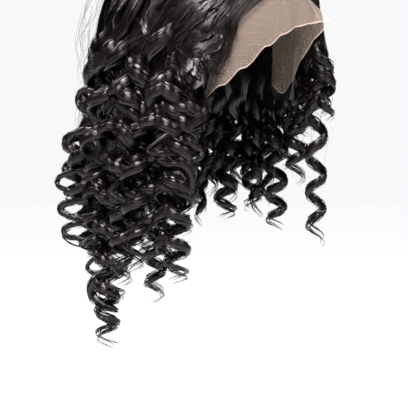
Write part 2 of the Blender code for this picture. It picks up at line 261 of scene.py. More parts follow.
@dataclass(frozen=True)
class HairForm:
    """The form of the crown hair, as the part's source has it."""

    cap: CapForm = CapForm()
    rim_drop: float = 0.165
    depth: float = 0.062
    crown_thickness: float = 0.034
    edge_lip: float = 0.0030
    inside_gap: float = 0.0042
    rim_clearance: float = 0.0004
    wave_depth: float = 0.0085
    wave_length: float = 0.062
    part_depth: float = 0.007
    part_width_deg: float = 9.0
    edge: tuple = (
        (-180, 1.00), (-66, 1.00), (-60, 0.92), (-53, 0.70), (-49, 0.52), (-44, 0.36), (-30, 0.29),
        (0, 0.26), (30, 0.29), (42, 0.36), (47, 0.58), (68, 0.58), (72, 1.00), (180, 1.00),
    )
    thickness_rows: tuple = (
        (-180, 0.82, 0.93, 0.97), (-140, 0.85, 0.95, 1.00), (-110, 0.74, 0.82, 0.86),
        (-85, 0.60, 0.62, 0.64), (-70, 0.52, 0.50, 0.48), (-57, 0.42, 0.33, 0.22),
        (-40, 0.37, 0.26, 0.13), (0, 0.33, 0.23, 0.10), (40, 0.37, 0.26, 0.15),
        (50, 0.45, 0.49, 0.46), (62, 0.50, 0.54, 0.50), (70, 0.50, 0.55, 0.52),
        (85, 0.56, 0.60, 0.60), (110, 0.70, 0.78, 0.80), (140, 0.80, 0.92, 0.97),
        (180, 0.82, 0.93, 0.97),
    )

    @property
    def head(self) -> HeadForm:
        """The head under the hair."""
        return self.cap.head

    def edge_drop(self, azimuth: Array | float) -> Array:
        """Gives how far below the crown the crown hair ends."""
        return self.rim_drop * read_table(self.edge, wrapped(azimuth), 1)

    def edge_level(self, azimuth: Array | float) -> Array:
        """Gives the level at which the crown hair ends."""
        return self.head.level_of_drop(self.edge_drop(azimuth))

    def thickness(self, azimuth: Array | float, level: Array | float) -> Array:
        """Gives how thick the crown hair lies.

        Args:
            azimuth: Degrees from the front.
            level: 0 at the crown, 1 at the widest place.

        Returns:
            The thickness, measured off the head.
        """
        azimuth = wrapped(azimuth)
        halfway, widest, rim = (
            self.depth * read_table(self.thickness_rows, azimuth, column) for column in (1, 2, 3)
        )
        edge_level = self.edge_level(azimuth)
        upper = self.crown_thickness + (halfway - self.crown_thickness) * level / 0.5
        lower = halfway + (widest - halfway) * np.clip((level - 0.5) / 0.5, 0.0, 1.0)
        body = np.where(level < 0.5, upper, lower)
        near_edge = smooth((level - 0.45 * edge_level) / (0.55 * edge_level))
        return body + (rim - body) * near_edge

    def relief(self, azimuth: Array | float, level: Array | float) -> Array:
        """Gives the relief of the waved locks and the groove of the parting.

        Args:
            azimuth: Degrees from the front.
            level: 0 at the crown, 1 at the widest place.

        Returns:
            How far the surface rises, below 0 where it sinks.
        """
        phase = 2 * pi * self.head.drop_of_level(level) / self.wave_length
        ridge = np.sin(12 * np.radians(azimuth) + 1.3 * np.sin(phase + np.radians(azimuth)))
        roll = np.cos(phase + 2.0 * np.radians(azimuth))
        at_edge = smooth(level / self.edge_level(azimuth) * 4 - 3)
        fade = smooth(level / 0.6) * (1.0 - 0.6 * at_edge)
        room = np.minimum(1.0, self.thickness(azimuth, level) / self.crown_thickness)
        groove = (1.0 - smooth(np.abs(wrapped(azimuth)) / self.part_width_deg)) * smooth(level / 0.25)
        return self.wave_depth * fade * room * (0.62 * ridge + 0.38 * roll) - self.part_depth * groove

    def inside(self, azimuth: Array | float) -> Array:
        """Gives how far the crown hair's inner side stands off the head."""
        half_row = self.edge_level(azimuth) * pi / 12
        return self.inside_gap + self.head.length / 2 * (2.0 - np.cos(np.radians(3.0)) - np.cos(half_row))

    def rim_radii(self, azimuth: float) -> tuple[float, float]:
        """Gives the plan radii of the crown hair's edge.

        Args:
            azimuth: Degrees from the front.

        Returns:
            The inner and the outer radius.
        """
        level = self.edge_level(azimuth)
        inner = self.head.point(azimuth, level, self.inside(azimuth))
        outer = self.head.point(azimuth, level, self.thickness(azimuth, level))
        return float(np.hypot(*inner[:2])), float(np.hypot(*outer[:2]))

    def seat_height(self, azimuth: float) -> float:
        """Gives the height at which hair hangs clear of the flat rim.

        Args:
            azimuth: Degrees from the front.

        Returns:
            The height, just under the rim's inner side.
        """
        level = self.edge_level(azimuth)
        stand = self.inside(azimuth) + self.cap.lace_stand(azimuth, level)
        return float(self.head.point(azimuth, level, stand)[2]) - self.rim_clearance


@dataclass(frozen=True)
class HairFinish:
    """Off-black hair with a satin gloss that runs across the strands."""

    name: str = "off_black_hair"
    dark: tuple = (0.0013, 0.0009, 0.0010, 1.0)
    warm: tuple = (0.0050, 0.0033, 0.0033, 1.0)
    sheen: tuple = (1.0, 0.89, 0.90, 1.0)
    rough_low: float = 0.21
    rough_high: float = 0.38
    anisotropy: float = 0.80
    specular: float = 0.22
    streak_scale: tuple = (3.0, 45.0, 1.0)
    bump: float = 0.18

    def make(self) -> bpy.types.Material:
        """Builds the material from its fibre streaks and strand tones.

        Returns:
            The new material.
        """
        net = Nodes(self.name)
        uv = net.add("ShaderNodeUVMap")
        fibres = net.add("ShaderNodeMapping")
        fibres.inputs["Scale"].default_value = self.streak_scale
        net.link(uv.outputs["UV"], fibres.inputs["Vector"])
        streaks = net.noise(fibres.outputs["Vector"], scale=1.0, detail=3.0, roughness=0.6)
        tone = net.add("ShaderNodeAttribute")
        tone.attribute_name = "tone"
        fine = net.maths("MULTIPLY", streaks, 0.55)
        broad = net.maths("MULTIPLY", tone.outputs["Fac"], 0.5)
        blend = net.maths("ADD", fine, broad)
        colour = net.ramp(blend, ((0.25, self.dark), (0.85, self.warm)))
        net.link(colour, net.shader.inputs["Base Color"])
        net.link(net.span(blend, 0.2, 0.85, self.rough_low, self.rough_high), net.shader.inputs["Roughness"])
        net.link(net.bump(streaks, self.bump, 0.0004), net.shader.inputs["Normal"])
        across = net.add("ShaderNodeTangent")
        across.direction_type = "UV_MAP"
        across.uv_map = "strands"
        net.link(across.outputs["Tangent"], net.shader.inputs["Tangent"])
        net.set(Anisotropic=self.anisotropy, IOR=1.55)
        net.set(**{"Specular IOR Level": self.specular, "Specular Tint": self.sheen})
        return net.material


@dataclass(frozen=True)
class NetFinish:
    """The cap's stretch net, with the rows of weft sewn round it."""

    name: str = "cap_stretch_net"
    thread: tuple = (0.020, 0.017, 0.017, 1.0)
    hollow: tuple = (0.004, 0.003, 0.003, 1.0)
    weft: tuple = (0.010, 0.007, 0.007, 1.0)
    cell: float = 0.0016
    stitch: float = 0.0024

    def make(self) -> bpy.types.Material:
        """Builds the material from its net cells and the wefts' stitches.

        Returns:
            The new material.
        """
        net = Nodes(self.name)
        place = net.add("ShaderNodeTexCoord").outputs["Object"]
        cells = net.add("ShaderNodeTexVoronoi")
        cells.feature = "DISTANCE_TO_EDGE"
        cells.inputs["Scale"].default_value = 1.0 / self.cell
        net.link(place, cells.inputs["Vector"])
        threads = net.span(cells.outputs["Distance"], 0.04, 0.16, 1.0, 0.0)
        sewn = net.add("ShaderNodeTexWave")
        sewn.wave_type = "BANDS"
        sewn.bands_direction = "Y"
        sewn.inputs["Scale"].default_value = 0.314 / self.stitch
        uv = net.add("ShaderNodeUVMap")
        net.link(uv.outputs["UV"], sewn.inputs["Vector"])
        weft = net.add("ShaderNodeAttribute")
        weft.attribute_name = "tone"
        weft = weft.outputs["Fac"]
        woven = net.mix(threads, self.hollow, self.thread)
        net.link(net.mix(weft, woven, self.weft), net.shader.inputs["Base Color"])
        net.link(net.span(weft, 0.0, 1.0, 0.85, 0.5), net.shader.inputs["Roughness"])
        knotted = net.maths("MULTIPLY", threads, 0.35)
        stitched = net.maths("MULTIPLY", sewn.outputs["Fac"], weft)
        relief = net.maths("ADD", knotted, stitched)
        net.link(net.bump(relief, 0.6, 0.0006), net.shader.inputs["Normal"])
        net.set(**{"Sheen Weight": 0.15})
        return net.material


@dataclass(frozen=True)
class LaceFinish:
    """The sheer lace: a tinted film of threads too fine to see one by one."""

    name: str = "sheer_lace"
    colour: tuple = (0.60, 0.44, 0.36, 1.0)
    shade: tuple = (0.42, 0.30, 0.24, 1.0)
    alpha: float = 0.16
    roughness: float = 0.62
    grain: float = 900.0

    def make(self) -> bpy.types.Material:
        """Builds the see-through material with its woven grain.

        Returns:
            The new material.
        """
        net = Nodes(self.name)
        place = net.add("ShaderNodeTexCoord").outputs["Object"]
        grain = net.noise(place, scale=self.grain, detail=2.0, roughness=0.5)
        net.link(net.mix(grain, self.shade, self.colour), net.shader.inputs["Base Color"])
        net.link(net.bump(grain, 0.25, 0.0002), net.shader.inputs["Normal"])
        net.set(Alpha=self.alpha, Roughness=self.roughness)
        net.set(**{"Sheen Weight": 0.4})
        return net.material


@dataclass(frozen=True)
class FloorFinish:
    """The plain pale studio floor."""

    name: str = "pale_floor"
    colour: tuple = (0.84, 0.845, 0.85, 1.0)
    far: tuple = (0.93, 0.94, 0.95, 1.0)
    glow: float = 0.96
    glow_from: float = 0.5
    glow_to: float = 2.2

    def make(self) -> bpy.types.Material:
        """Builds the matt material, which glows farther out to hide the horizon.

        Returns:
            The new material.
        """
        net = Nodes(self.name)
        net.shader.inputs["Base Color"].default_value = self.colour
        net.shader.inputs["Emission Color"].default_value = self.far
        net.set(Roughness=0.9)
        length = net.add("ShaderNodeVectorMath")
        length.operation = "LENGTH"
        net.link(net.add("ShaderNodeTexCoord").outputs["Object"], length.inputs[0])
        glow = net.span(length.outputs["Value"], self.glow_from, self.glow_to, 0.0, self.glow)
        net.link(glow, net.shader.inputs["Emission Strength"])
        return net.material


class Nodes:
    """A material's node tree, with short ways to add to it."""

    def __init__(self, name: str) -> None:
        """Starts a material with only its Principled shader.

        Args:
            name: The material's name.
        """
        self.material = bpy.data.materials.new(name)
        self.material.use_nodes = True
        self.tree = self.material.node_tree
        self.shader = self.tree.nodes["Principled BSDF"]

    def add(self, kind: str) -> bpy.types.Node:
        """Adds a node of a kind."""
        return self.tree.nodes.new(kind)

    def link(self, source: bpy.types.NodeSocket, target: bpy.types.NodeSocket) -> None:
        """Links one socket to another."""
        self.tree.links.new(source, target)

    def set(self, **values: float | tuple) -> None:
        """Sets constants on the Principled shader's own sockets."""
        for name, value in values.items():
            self.shader.inputs[name].default_value = value

    def noise(self, place: bpy.types.NodeSocket, scale: float, detail: float,
              roughness: float) -> bpy.types.NodeSocket:
        """Adds noise.

        Args:
            place: The coordinate that the noise lies over.
            scale: How fine it is.
            detail: How many finer layers it has.
            roughness: How strong those layers are.

        Returns:
            The noise's strength.
        """
        node = self.add("ShaderNodeTexNoise")
        node.inputs["Scale"].default_value = scale
        node.inputs["Detail"].default_value = detail
        node.inputs["Roughness"].default_value = roughness
        self.link(place, node.inputs["Vector"])
        return node.outputs["Fac"]

    def maths(self, operation: str, first: bpy.types.NodeSocket,
              second: bpy.types.NodeSocket | float) -> bpy.types.NodeSocket:
        """Adds a calculation with two values.

        Args:
            operation: What is done with them, by Blender's name for it.
            first: The first value.
            second: The second value, a socket or a plain number.

        Returns:
            The result.
        """
        node = self.add("ShaderNodeMath")
        node.operation = operation
        self.link(first, node.inputs[0])
        if isinstance(second, float):
            node.inputs[1].default_value = second
        else:
            self.link(second, node.inputs[1])
        return node.outputs[0]

    def span(self, value: bpy.types.NodeSocket, low: float, high: float, to_low: float,
             to_high: float) -> bpy.types.NodeSocket:
        """Maps a value from one span to another, held at both ends.

        Args:
            value: The value.
            low: Where its span starts.
            high: Where its span ends.
            to_low: What the start becomes.
            to_high: What the end becomes.

        Returns:
            The mapped value.
        """
        node = self.add("ShaderNodeMapRange")
        for name, number in zip(("From Min", "From Max", "To Min", "To Max"), (low, high, to_low, to_high)):
            node.inputs[name].default_value = number
        self.link(value, node.inputs["Value"])
        return node.outputs["Result"]

    def ramp(self, value: bpy.types.NodeSocket, stops: tuple) -> bpy.types.NodeSocket:
        """Adds a colour ramp.

        Args:
            value: The value that picks the colour.
            stops: Two stops, each a place and a colour.

        Returns:
            The colour.
        """
        node = self.add("ShaderNodeValToRGB")
        for element, (place, colour) in zip(node.color_ramp.elements, stops):
            element.position = place
            element.color = colour
        self.link(value, node.inputs["Fac"])
        return node.outputs["Color"]

    def mix(self, share: bpy.types.NodeSocket, first: bpy.types.NodeSocket | tuple,
            second: bpy.types.NodeSocket | tuple) -> bpy.types.NodeSocket:
        """Mixes two colours.

        Args:
            share: How much of the second colour there is.
            first: The first colour, a socket or a plain colour.
            second: The second colour, a socket or a plain colour.

        Returns:
            The mixed colour.
        """
        node = self.add("ShaderNodeMix")
        node.data_type = "RGBA"
        self.link(share, node.inputs["Factor"])
        for index, colour in ((6, first), (7, second)):
            if isinstance(colour, tuple):
                node.inputs[index].default_value = colour
            else:
                self.link(colour, node.inputs[index])
        return node.outputs[2]

    def bump(self, height: bpy.types.NodeSocket, strength: float, distance: float) -> bpy.types.NodeSocket:
        """Adds a bump.

        Args:
            height: The bump's height.
            strength: How strongly it shows.
            distance: How high its full height stands.

        Returns:
            The bumped normal.
        """
        node = self.add("ShaderNodeBump")
        node.inputs["Strength"].default_value = strength
        node.inputs["Distance"].default_value = distance
        self.link(height, node.inputs["Height"])
        return node.outputs["Normal"]


@dataclass
class LockLine:
    """The course of a lock: its centre line, outward side and half sizes."""

    path: Array
    out: Array
    wide: Array
    thin: Array


@dataclass(frozen=True)
class LockLook:
    """How the hair of a lock is laid."""

    strands: int = 28
    cover: float = 1.2
    wander: float = 0.34
    fray: float = 0.5
    strays: int = 3
    core_share: float = 0.74
    ripple: float = 0.0004
    clumps: int = 5
    clump_depth: float = 0.09
    split: float = 0.0
    wisps: int = 3


class HairMesh:
    """Gathers locks, beds and single hairs into one mesh."""

    core_sides: int = 6
    hair_sides: int = 3
    least_half_ribbon: float = 0.00014

    def __init__(self, seed: int) -> None:
        """Starts empty.

        Args:
            seed: The seed of its own random numbers.
        """
        self.rng = np.random.default_rng(seed)
        self.points: list[Array] = []
        self.faces: list = []
        self.uvs: list[Array] = []
        self.tones: list[Array] = []
        self.count = 0

    def add_grid(self, grid: Array, along: Array, tone: Array | float, closed: bool) -> None:
        """Adds strips or tubes of quads.

        Args:
            grid: Points, as strips x rows x columns x 3.
            along: The distance of each row down its strip, strips x rows.
            tone: The tone of each strip.
            closed: Whether the last column joins the first, with capped ends.
        """
        strips, rows, columns, _ = grid.shape
        index = np.arange(strips * rows * columns).reshape(strips, rows, columns) + self.count
        if closed:
            index = np.concatenate([index, index[:, :, :1]], axis=2)
        spans = index.shape[2] - 1
        near, far = index[:, :-1], index[:, 1:]
        quads = np.stack([near[:, :, :-1], far[:, :, :-1], far[:, :, 1:], near[:, :, 1:]], -1)
        across = np.arange(spans + 1) / spans
        shift = self.rng.uniform(0.0, 50.0, strips)[:, None, None]
        u = across[None, None, :] * (spans if closed else 1.0) + shift + np.zeros((1, rows, 1))
        v = np.broadcast_to(along[:, :, None], u.shape)
        uv = np.stack([u, v], -1)
        loops = np.stack([uv[:, :-1, :-1], uv[:, 1:, :-1], uv[:, 1:, 1:], uv[:, :-1, 1:]], -2)
        self.faces.extend(quads.reshape(-1, 4).tolist())
        self.uvs.append(loops.reshape(-1, 2))
        if closed:
            for strip in range(strips):
                self.faces.append(index[strip, 0, :-1].tolist())
                self.faces.append(index[strip, -1, -2::-1].tolist())
                self.uvs.append(np.repeat(uv[strip, 0, :1], columns, 0))
                self.uvs.append(np.repeat(uv[strip, -1, :1], columns, 0))
        self.points.append(grid.reshape(-1, 3))
        tones = np.broadcast_to(np.reshape(tone, (-1, 1)), (strips, rows * columns))
        self.tones.append(tones.reshape(-1))
        self.count += strips * rows * columns

    def add_lock(self, line: LockLine, look: LockLook) -> None:
        """Adds a lock: a dark core wrapped in ribbons and a few stray hairs.

        Args:
            line: The lock's course.
            look: How its hair is laid.
        """
        tangent = unit(np.gradient(line.path, axis=0))
        out = unit(line.out - tangent * np.sum(line.out * tangent, 1, keepdims=True))
        side = np.cross(tangent, out)
        along = distances(line.path)
        turn = np.linspace(0, 2 * pi, self.core_sides, endpoint=False)[None, :, None]
        wide, thin = line.wide[:, None, None], line.thin[:, None, None]
        ring = np.cos(turn) * wide * side[:, None] + np.sin(turn) * thin * out[:, None]
        parted = smooth((np.linspace(0.0, 1.0, len(line.path)) - 0.66) / 0.26) if look.split else 0.0
        filled = look.core_share * (1.0 - 0.95 * parted) + np.zeros(len(line.path))
        core = line.path[:, None] + ring * filled[:, None, None]
        self.add_grid(core[None], along[None], 0.0, True)
        course = np.concatenate(
            [line.path, side, out, line.wide[:, None], line.thin[:, None], along[:, None]], axis=1
        )
        self.add_ribbons(course, look, look.strands, look.cover, 1.0)
        if look.strays:
            self.add_ribbons(course, look, look.strays, 0.30 * look.strays / look.strands, 1.22)

    def add_ribbons(self, course: Array, look: LockLook, count: int, cover: float, reach: float) -> None:
        """Lays ribbons of hair round a lock.

        Args:
            course: For each point of the lock its place, side, outward
                direction, half width, half thickness and distance.
            look: How the hair is laid.
            count: How many ribbons there are.
            cover: How much of the lock's girth they cover together.
            reach: How far out they lie, 1 being on the lock's surface.
        """
        rng, rows = self.rng, len(course)
        share = np.linspace(0.0, 1.0, rows)[None]
        start = rng.uniform(0.0, 0.02, (count, 1))
        end = 1.0 - rng.uniform(0.0, 0.10, (count, 1)) * look.fray
        place = (start + (end - start) * share) * (rows - 1)
        low = np.minimum(place.astype(int), rows - 2)
        part = (place - low)[..., None]
        here = course[low] * (1.0 - part) + course[low + 1] * part
        centre, side, out = here[..., 0:3], here[..., 3:6], here[..., 6:9]
        wide, thin, along = here[..., 9], here[..., 10], here[..., 11]
        seat = (np.arange(count)[:, None] + rng.uniform(-0.35, 0.35, (count, 1))) / count * 2 * pi
        beat, shift = rng.uniform(0.5, 2.2, (count, 1)), rng.uniform(0, 2 * pi, (2, count, 1))
        theta = seat + look.wander * np.sin(2 * pi * beat * share + shift[0])
        phi = theta + 0.25 * np.sin(2 * theta)
        loose = rng.normal(0.0, 0.20, (count, 1)) * look.fray * smooth((share - 0.62) / 0.38)
        wave = 2 * pi * along / rng.uniform(0.012, 0.030, (count, 1)) + shift[1]
        ripple = look.ripple * rng.uniform(0.4, 1.4, (count, 1)) * np.sin(wave) / np.maximum(thin, 0.001)
        clump = look.clump_depth * np.cos(look.clumps * seat + rng.uniform(0, 6)) * smooth(share / 0.1)
        depth = reach * rng.uniform(0.93, 1.02, (count, 1)) + np.clip(ripple, -0.2, 0.25) + loose + clump
        parted = smooth((share - 0.66) / 0.34)
        wisp = (np.floor(seat / (2 * pi) * look.wisps) + 0.5) / look.wisps * 2 * pi + 1.5 * parted
        apart = look.split * parted * rng.uniform(0.85, 1.15, (count, 1))
        depth = depth * (1.0 - (0.45 * parted if look.split else 0.0))
        centre = centre + (np.cos(phi) * wide * depth + np.cos(wisp) * apart)[..., None] * side
        centre = centre + (np.sin(phi) * thin * depth + np.sin(wisp) * apart * 0.6)[..., None] * out
        across = unit((-np.sin(phi) * wide)[..., None] * side + (np.cos(phi) * thin)[..., None] * out)
        girth = 2 * pi * np.sqrt((wide**2 + thin**2) / 2)
        half = 0.5 * cover * girth / count * rng.uniform(0.6, 1.4, (count, 1))
        half = np.maximum(half * (0.12 + 0.88 * smooth((1.0 - share) / 0.10)), self.least_half_ribbon)
        half = half * (0.2 + 0.8 * smooth(share / 0.05))
        edge = half[..., None] * across
        grid = np.stack([centre - edge, centre + edge], axis=2)
        self.add_grid(grid, along, rng.uniform(0.0, 1.0, count), False)

    def add_hairs(self, paths: Array, radii: Array) -> None:
        """Adds single hairs as thin three-sided tubes.

        Args:
            paths: Points, as hairs x rows x 3.
            radii: The radius of each hair.
        """
        tangent = unit(np.gradient(paths, axis=1))
        side = unit(np.cross(tangent, np.array([0.31, 0.22, 0.92])))
        out = np.cross(tangent, side)
        turn = np.linspace(0, 2 * pi, self.hair_sides, endpoint=False)[None, None, :, None]
        rows = paths.shape[1]
        thin = radii[:, None] * (0.25 + 0.75 * smooth((1.0 - np.linspace(0, 1, rows)) / 0.4))[None]
        ring = np.cos(turn) * side[:, :, None] + np.sin(turn) * out[:, :, None]
        grid = paths[:, :, None] + ring * thin[..., None, None]
        self.add_grid(grid[:, :, ::-1], distances(paths), self.rng.uniform(0.3, 1.0, len(paths)), True)

    def build(self, name: str, material: bpy.types.Material, slot: Slot = Slot.HAIR) -> bpy.types.Object:
        """Makes the piece, which rides on the wig's one body.

        Args:
            name: The piece's name.
            material: Its finish.
            slot: Not used.

        Returns:
            The new piece.
        """
        mesh = bpy.data.meshes.new(name)
        mesh.from_pydata(np.concatenate(self.points).tolist(), [], self.faces)
        layer = mesh.uv_layers.new(name="strands")
        layer.data.foreach_set("uv", np.concatenate(self.uvs).astype(np.float32).ravel())
        tone = mesh.attributes.new("tone", "FLOAT", "POINT")
        tone.data.foreach_set("value", np.concatenate(self.tones).astype(np.float32))
        mesh.shade_smooth()
        return place_piece(name, mesh, material)


def place_piece(name: str, mesh: bpy.types.Mesh, material: bpy.types.Material) -> bpy.types.Object:
    """Puts a mesh into the scene as a piece on the wig's one body.

    Args:
        name: The piece's name.
        mesh: Its mesh.
        material: Its finish.

    Returns:
        The new piece.
    """
    mesh.materials.append(material)
    piece = bpy.data.objects.new(name, mesh)
    bpy.context.scene.collection.objects.link(piece)
    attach(piece, "root")
    triangles = sum(len(face.vertices) - 2 for face in mesh.polygons)
    log.info("%s: %d triangles", name, triangles)
    return piece


@dataclass(frozen=True)
class Curl:
    """A curl that is combed over the head and then winds down.

    The root is on the parting or the hairline; the curl breaks free of the
    combed hair at one drop below the crown and ends at another. Lift is the
    share of the crown hair's thickness at which it lies, and sunk is how much
    of that it has at its root.
    """

    root: tuple
    azimuth: float
    breaks: float
    ends: float
    stand: float
    radius: float
    pitch: float
    wide: float
    thin: float
    phase: float
    hand: Hand
    lift: float = 1.0
    tip: float = 0.4
    sway: float = 0.0
    tighten: float = 0.34
    sunk: float = 1.0
    combed_step: float = 0.0065
    rows_per_turn: int = 11

    def line(self, form: HairForm) -> LockLine:
        """Works out the curl's course over the head and down.

        Args:
            form: The hair that the curl lies on.

        Returns:
            The curl's centre line, outward side and half sizes.
        """
        head = form.head
        root_azimuth, root_level = self.root
        root_drop = float(head.drop_of_level(root_level))
        turns = (self.ends - self.breaks) / self.pitch
        combed = max(6, int((self.breaks - root_drop) / self.combed_step) + 4)
        wound = int(turns * self.rows_per_turn) + 3
        share = np.concatenate([np.linspace(0, 1, combed, endpoint=False), np.ones(wound)])
        curl = np.concatenate([np.zeros(combed), tightened(np.linspace(0, 1, wound), self.tighten)])
        level = root_level + (float(head.level_of_drop(self.breaks)) - root_level) * share
        drop = np.where(curl > 0, self.breaks + (self.ends - self.breaks) * curl, head.drop_of_level(level))
        azimuth = root_azimuth + (self.azimuth - root_azimuth) * (1.0 - (1.0 - share) ** 1.7)
        azimuth = azimuth + self.sway * np.sin(2 * pi * drop / 0.07) * smooth(share)
        within = np.minimum(head.level_of_drop(drop), form.edge_level(azimuth))
        depth = form.thickness(azimuth, within)
        lie = (0.80 + 0.20 * self.lift * smooth(share)) * depth
        risen = self.sunk + (1.0 - self.sunk) * smooth(share / 0.22)
        offset = np.minimum(lie, depth * self.lift) * risen + self.stand * smooth(curl * 1.2)
        axis = head.hanging(azimuth, drop, offset)
        along = unit(np.gradient(axis, axis=0))
        outward = head.outward(azimuth, np.minimum(head.level_of_drop(drop), 1.0))
        first = unit(outward - along * np.sum(outward * along, 1, keepdims=True))
        second = np.cross(along, first)
        turn = turns * (curl * (1.0 - self.tighten) + self.tighten * curl**2)
        wave = 0.42 * self.radius * smooth(share * 1.5) * np.sin(2 * pi * drop / 0.052 + 0.6 * self.phase)
        angle = (self.phase + self.hand.value * 2 * pi * turn)[:, None]
        reach = self.radius * smooth(turn / 0.55) * (1.0 - 0.28 * curl**3)
        radial = np.cos(angle) * first + np.sin(angle) * second
        path = axis + radial * reach[:, None] + second * (wave * (1.0 - smooth(turn / 0.55)))[:, None]
        facing = smooth(turn / 0.45)[:, None]
        out = unit(first * (1.0 - facing) + radial * facing)
        girth = (0.45 + 0.55 * smooth(share * 3.0)) * (1.0 - (1.0 - self.tip) * smooth(curl * 0.92) ** 1.3)
        girth = girth * (0.15 + 0.85 * smooth((1.0 - curl) * turns / 0.35))
        laid = 0.35 + 0.65 * smooth(turn / 0.5)
        return LockLine(path, out, self.wide * girth, self.thin * (0.15 + 0.85 * girth) * laid)


@dataclass(frozen=True)
class Ringlet:
    """A ringlet's row in the part's source: sizes are shares of the longest."""

    name: str
    azimuth: float
    length: float
    stand: float
    lock: float
    coil: float
    pitch: float
    phase: float
    hand: Hand


@dataclass
class Ringlets:
    """The fifteen spiral locks that hang free below the crown hair."""

    form: HairForm
    longest: float = 0.256
    swing: float = 0.050
    gap: float = 0.0006
    lock_radius: float = 0.0066
    tip_radius: float = 0.0016
    tip_turns: float = 0.8
    tighten: float = 0.42
    coil_pitch: float = 0.034
    under_front: tuple = (86.0, 0.0042)
    under_back: tuple = (150.0, 0.0120)
    rise: float = 0.030
    rise_rows: int = 5
    rows_per_turn: int = 15
    rows: tuple = (
        Ringlet("right_temple", -76.0, 0.71, 0.60, 1.00, 0.66, 0.94, 200, Hand.RIGHT),
        Ringlet("right_ear", -93.0, 0.58, 0.68, 1.06, 0.76, 1.06, 40, Hand.LEFT),
        Ringlet("right_long", -115.0, 1.00, 0.57, 1.00, 0.58, 1.00, 150, Hand.RIGHT),
        Ringlet("right_behind_ear", -133.0, 0.49, 0.80, 1.06, 0.76, 1.06, 300, Hand.LEFT),
        Ringlet("right_back", -149.5, 0.44, 1.00, 1.00, 0.98, 0.92, 110, Hand.RIGHT),
        Ringlet("back_right", -165.0, 0.60, 0.88, 0.96, 1.00, 1.05, 250, Hand.LEFT),
        Ringlet("back_middle", 180.0, 0.65, 0.94, 0.94, 0.96, 1.02, 20, Hand.RIGHT),
        Ringlet("back_left", 165.0, 0.57, 0.88, 0.96, 1.00, 1.06, 160, Hand.LEFT),
        Ringlet("left_back", 149.0, 0.52, 0.84, 1.00, 0.96, 1.00, 310, Hand.RIGHT),
        Ringlet("left_behind_ear", 134.0, 0.48, 0.66, 1.00, 0.96, 1.04, 60, Hand.LEFT),
        Ringlet("left_long", 120.0, 0.52, 0.50, 1.00, 0.98, 1.06, 210, Hand.RIGHT),
        Ringlet("left_ear_back", 106.0, 0.47, 0.40, 0.94, 0.92, 1.02, 30, Hand.RIGHT),
        Ringlet("left_ear", 92.5, 0.55, 0.33, 0.94, 0.96, 1.02, 350, Hand.LEFT),
        Ringlet("left_cheek", 78.5, 0.26, 0.36, 0.90, 0.90, 1.00, 130, Hand.RIGHT),
        Ringlet("left_temple", 58.0, 0.87, 0.29, 0.92, 0.96, 1.30, 270, Hand.LEFT),
    )

    def under_wall(self, azimuth: float) -> float:
        """Gives how thick the under hair is at its top.

        Args:
            azimuth: Degrees from the front.

        Returns:
            The thickness, 0 in front of the under hair.
        """
        (front, thin), (back, thick) = self.under_front, self.under_back
        beyond = abs(float(wrapped(azimuth))) - front
        return 0.0 if beyond < 0.0 else thin + (thick - thin) * float(smooth(beyond / (back - front)))

    def direction(self, azimuth: float) -> Array:
        """Gives the level direction in which an azimuth lies."""
        return unit(self.form.head.point(azimuth, 1.0, 0.0) * np.array([1.0, 1.0, 0.0]))

    def axis(self, row: Ringlet) -> Array:
        """Gives the plan position of a ringlet's axis."""
        inner, _ = self.form.rim_radii(row.azimuth)
        return self.direction(row.azimuth) * (inner + self.under_wall(row.azimuth) + self.swing * row.stand)

    def coil_radius(self, row: Ringlet) -> float:
        """Gives the coil radius that a ringlet has between its neighbours.

        Args:
            row: The ringlet.

        Returns:
            The radius.
        """
        here = self.axis(row)
        between = min(np.linalg.norm(here - self.axis(other)) for other in self.rows if other is not row) / 2
        room = min(between, self.swing * row.stand) - self.gap - self.lock_radius * row.lock
        return room * row.coil

    def line(self, row: Ringlet) -> LockLine:
        """Works out a ringlet's course, from inside the crown hair down.

        Args:
            row: The ringlet.

        Returns:
            Its centre line, outward side and half sizes.
        """
        inner, outer = self.form.rim_radii(row.azimuth)
        wall, towards = self.under_wall(row.azimuth), self.direction(row.azimuth)
        seat = towards * (inner + wall + (outer - inner - wall) * 0.55)
        top, length = self.form.seat_height(row.azimuth), self.longest * row.length
        turns = length / (self.coil_pitch * row.pitch)
        share = tightened(np.linspace(0, 1, int(turns * self.rows_per_turn)), self.tighten)
        turn = turns * (share * (1.0 - self.tighten) + self.tighten * share**2)
        reach = (self.coil_radius(row) + 0.0026) * smooth(turn / 0.75) * (1.0 - 0.22 * share**3)
        angle = np.radians(row.phase) + row.hand.value * 2 * pi * turn
        radial = np.stack([np.cos(angle), np.sin(angle), np.zeros_like(angle)], 1)
        path = seat + (self.axis(row) - seat) * smooth(share * 2.2)[:, None] + radial * reach[:, None]
        path[:, 2] = top - length * share
        size = self.lock_radius * row.lock * (1.0 - 0.42 * share)
        tip = self.tip_radius * 0.5
        size = tip + (size - tip) * smooth((turns - turn) / self.tip_turns)
        above = np.linspace(1.0, 0.0, self.rise_rows, endpoint=False)[:, None]
        rise = path[:1] + above * np.array([0.0, 0.0, self.rise])
        path = np.concatenate([rise, path])
        out = np.concatenate([np.repeat(radial[:1], self.rise_rows, 0), radial])
        size = np.concatenate([size[0] * (1.0 - 0.5 * above[:, 0]), size])
        return LockLine(path, out, size * 1.2, size * 0.60)

    def build(self, material: bpy.types.Material) -> None:
        """Builds each ringlet in place of its node.

        Args:
            material: The hair's finish.
        """
        for number, row in enumerate(self.rows):
            mesh = HairMesh(100 + number)
            mesh.add_lock(self.line(row), LockLook(strands=30, strays=4, fray=0.7, split=0.0034))
            piece = mesh.build(f"{row.name}_ringlet_lock", material)
            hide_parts(f"{row.name}_ringlet")


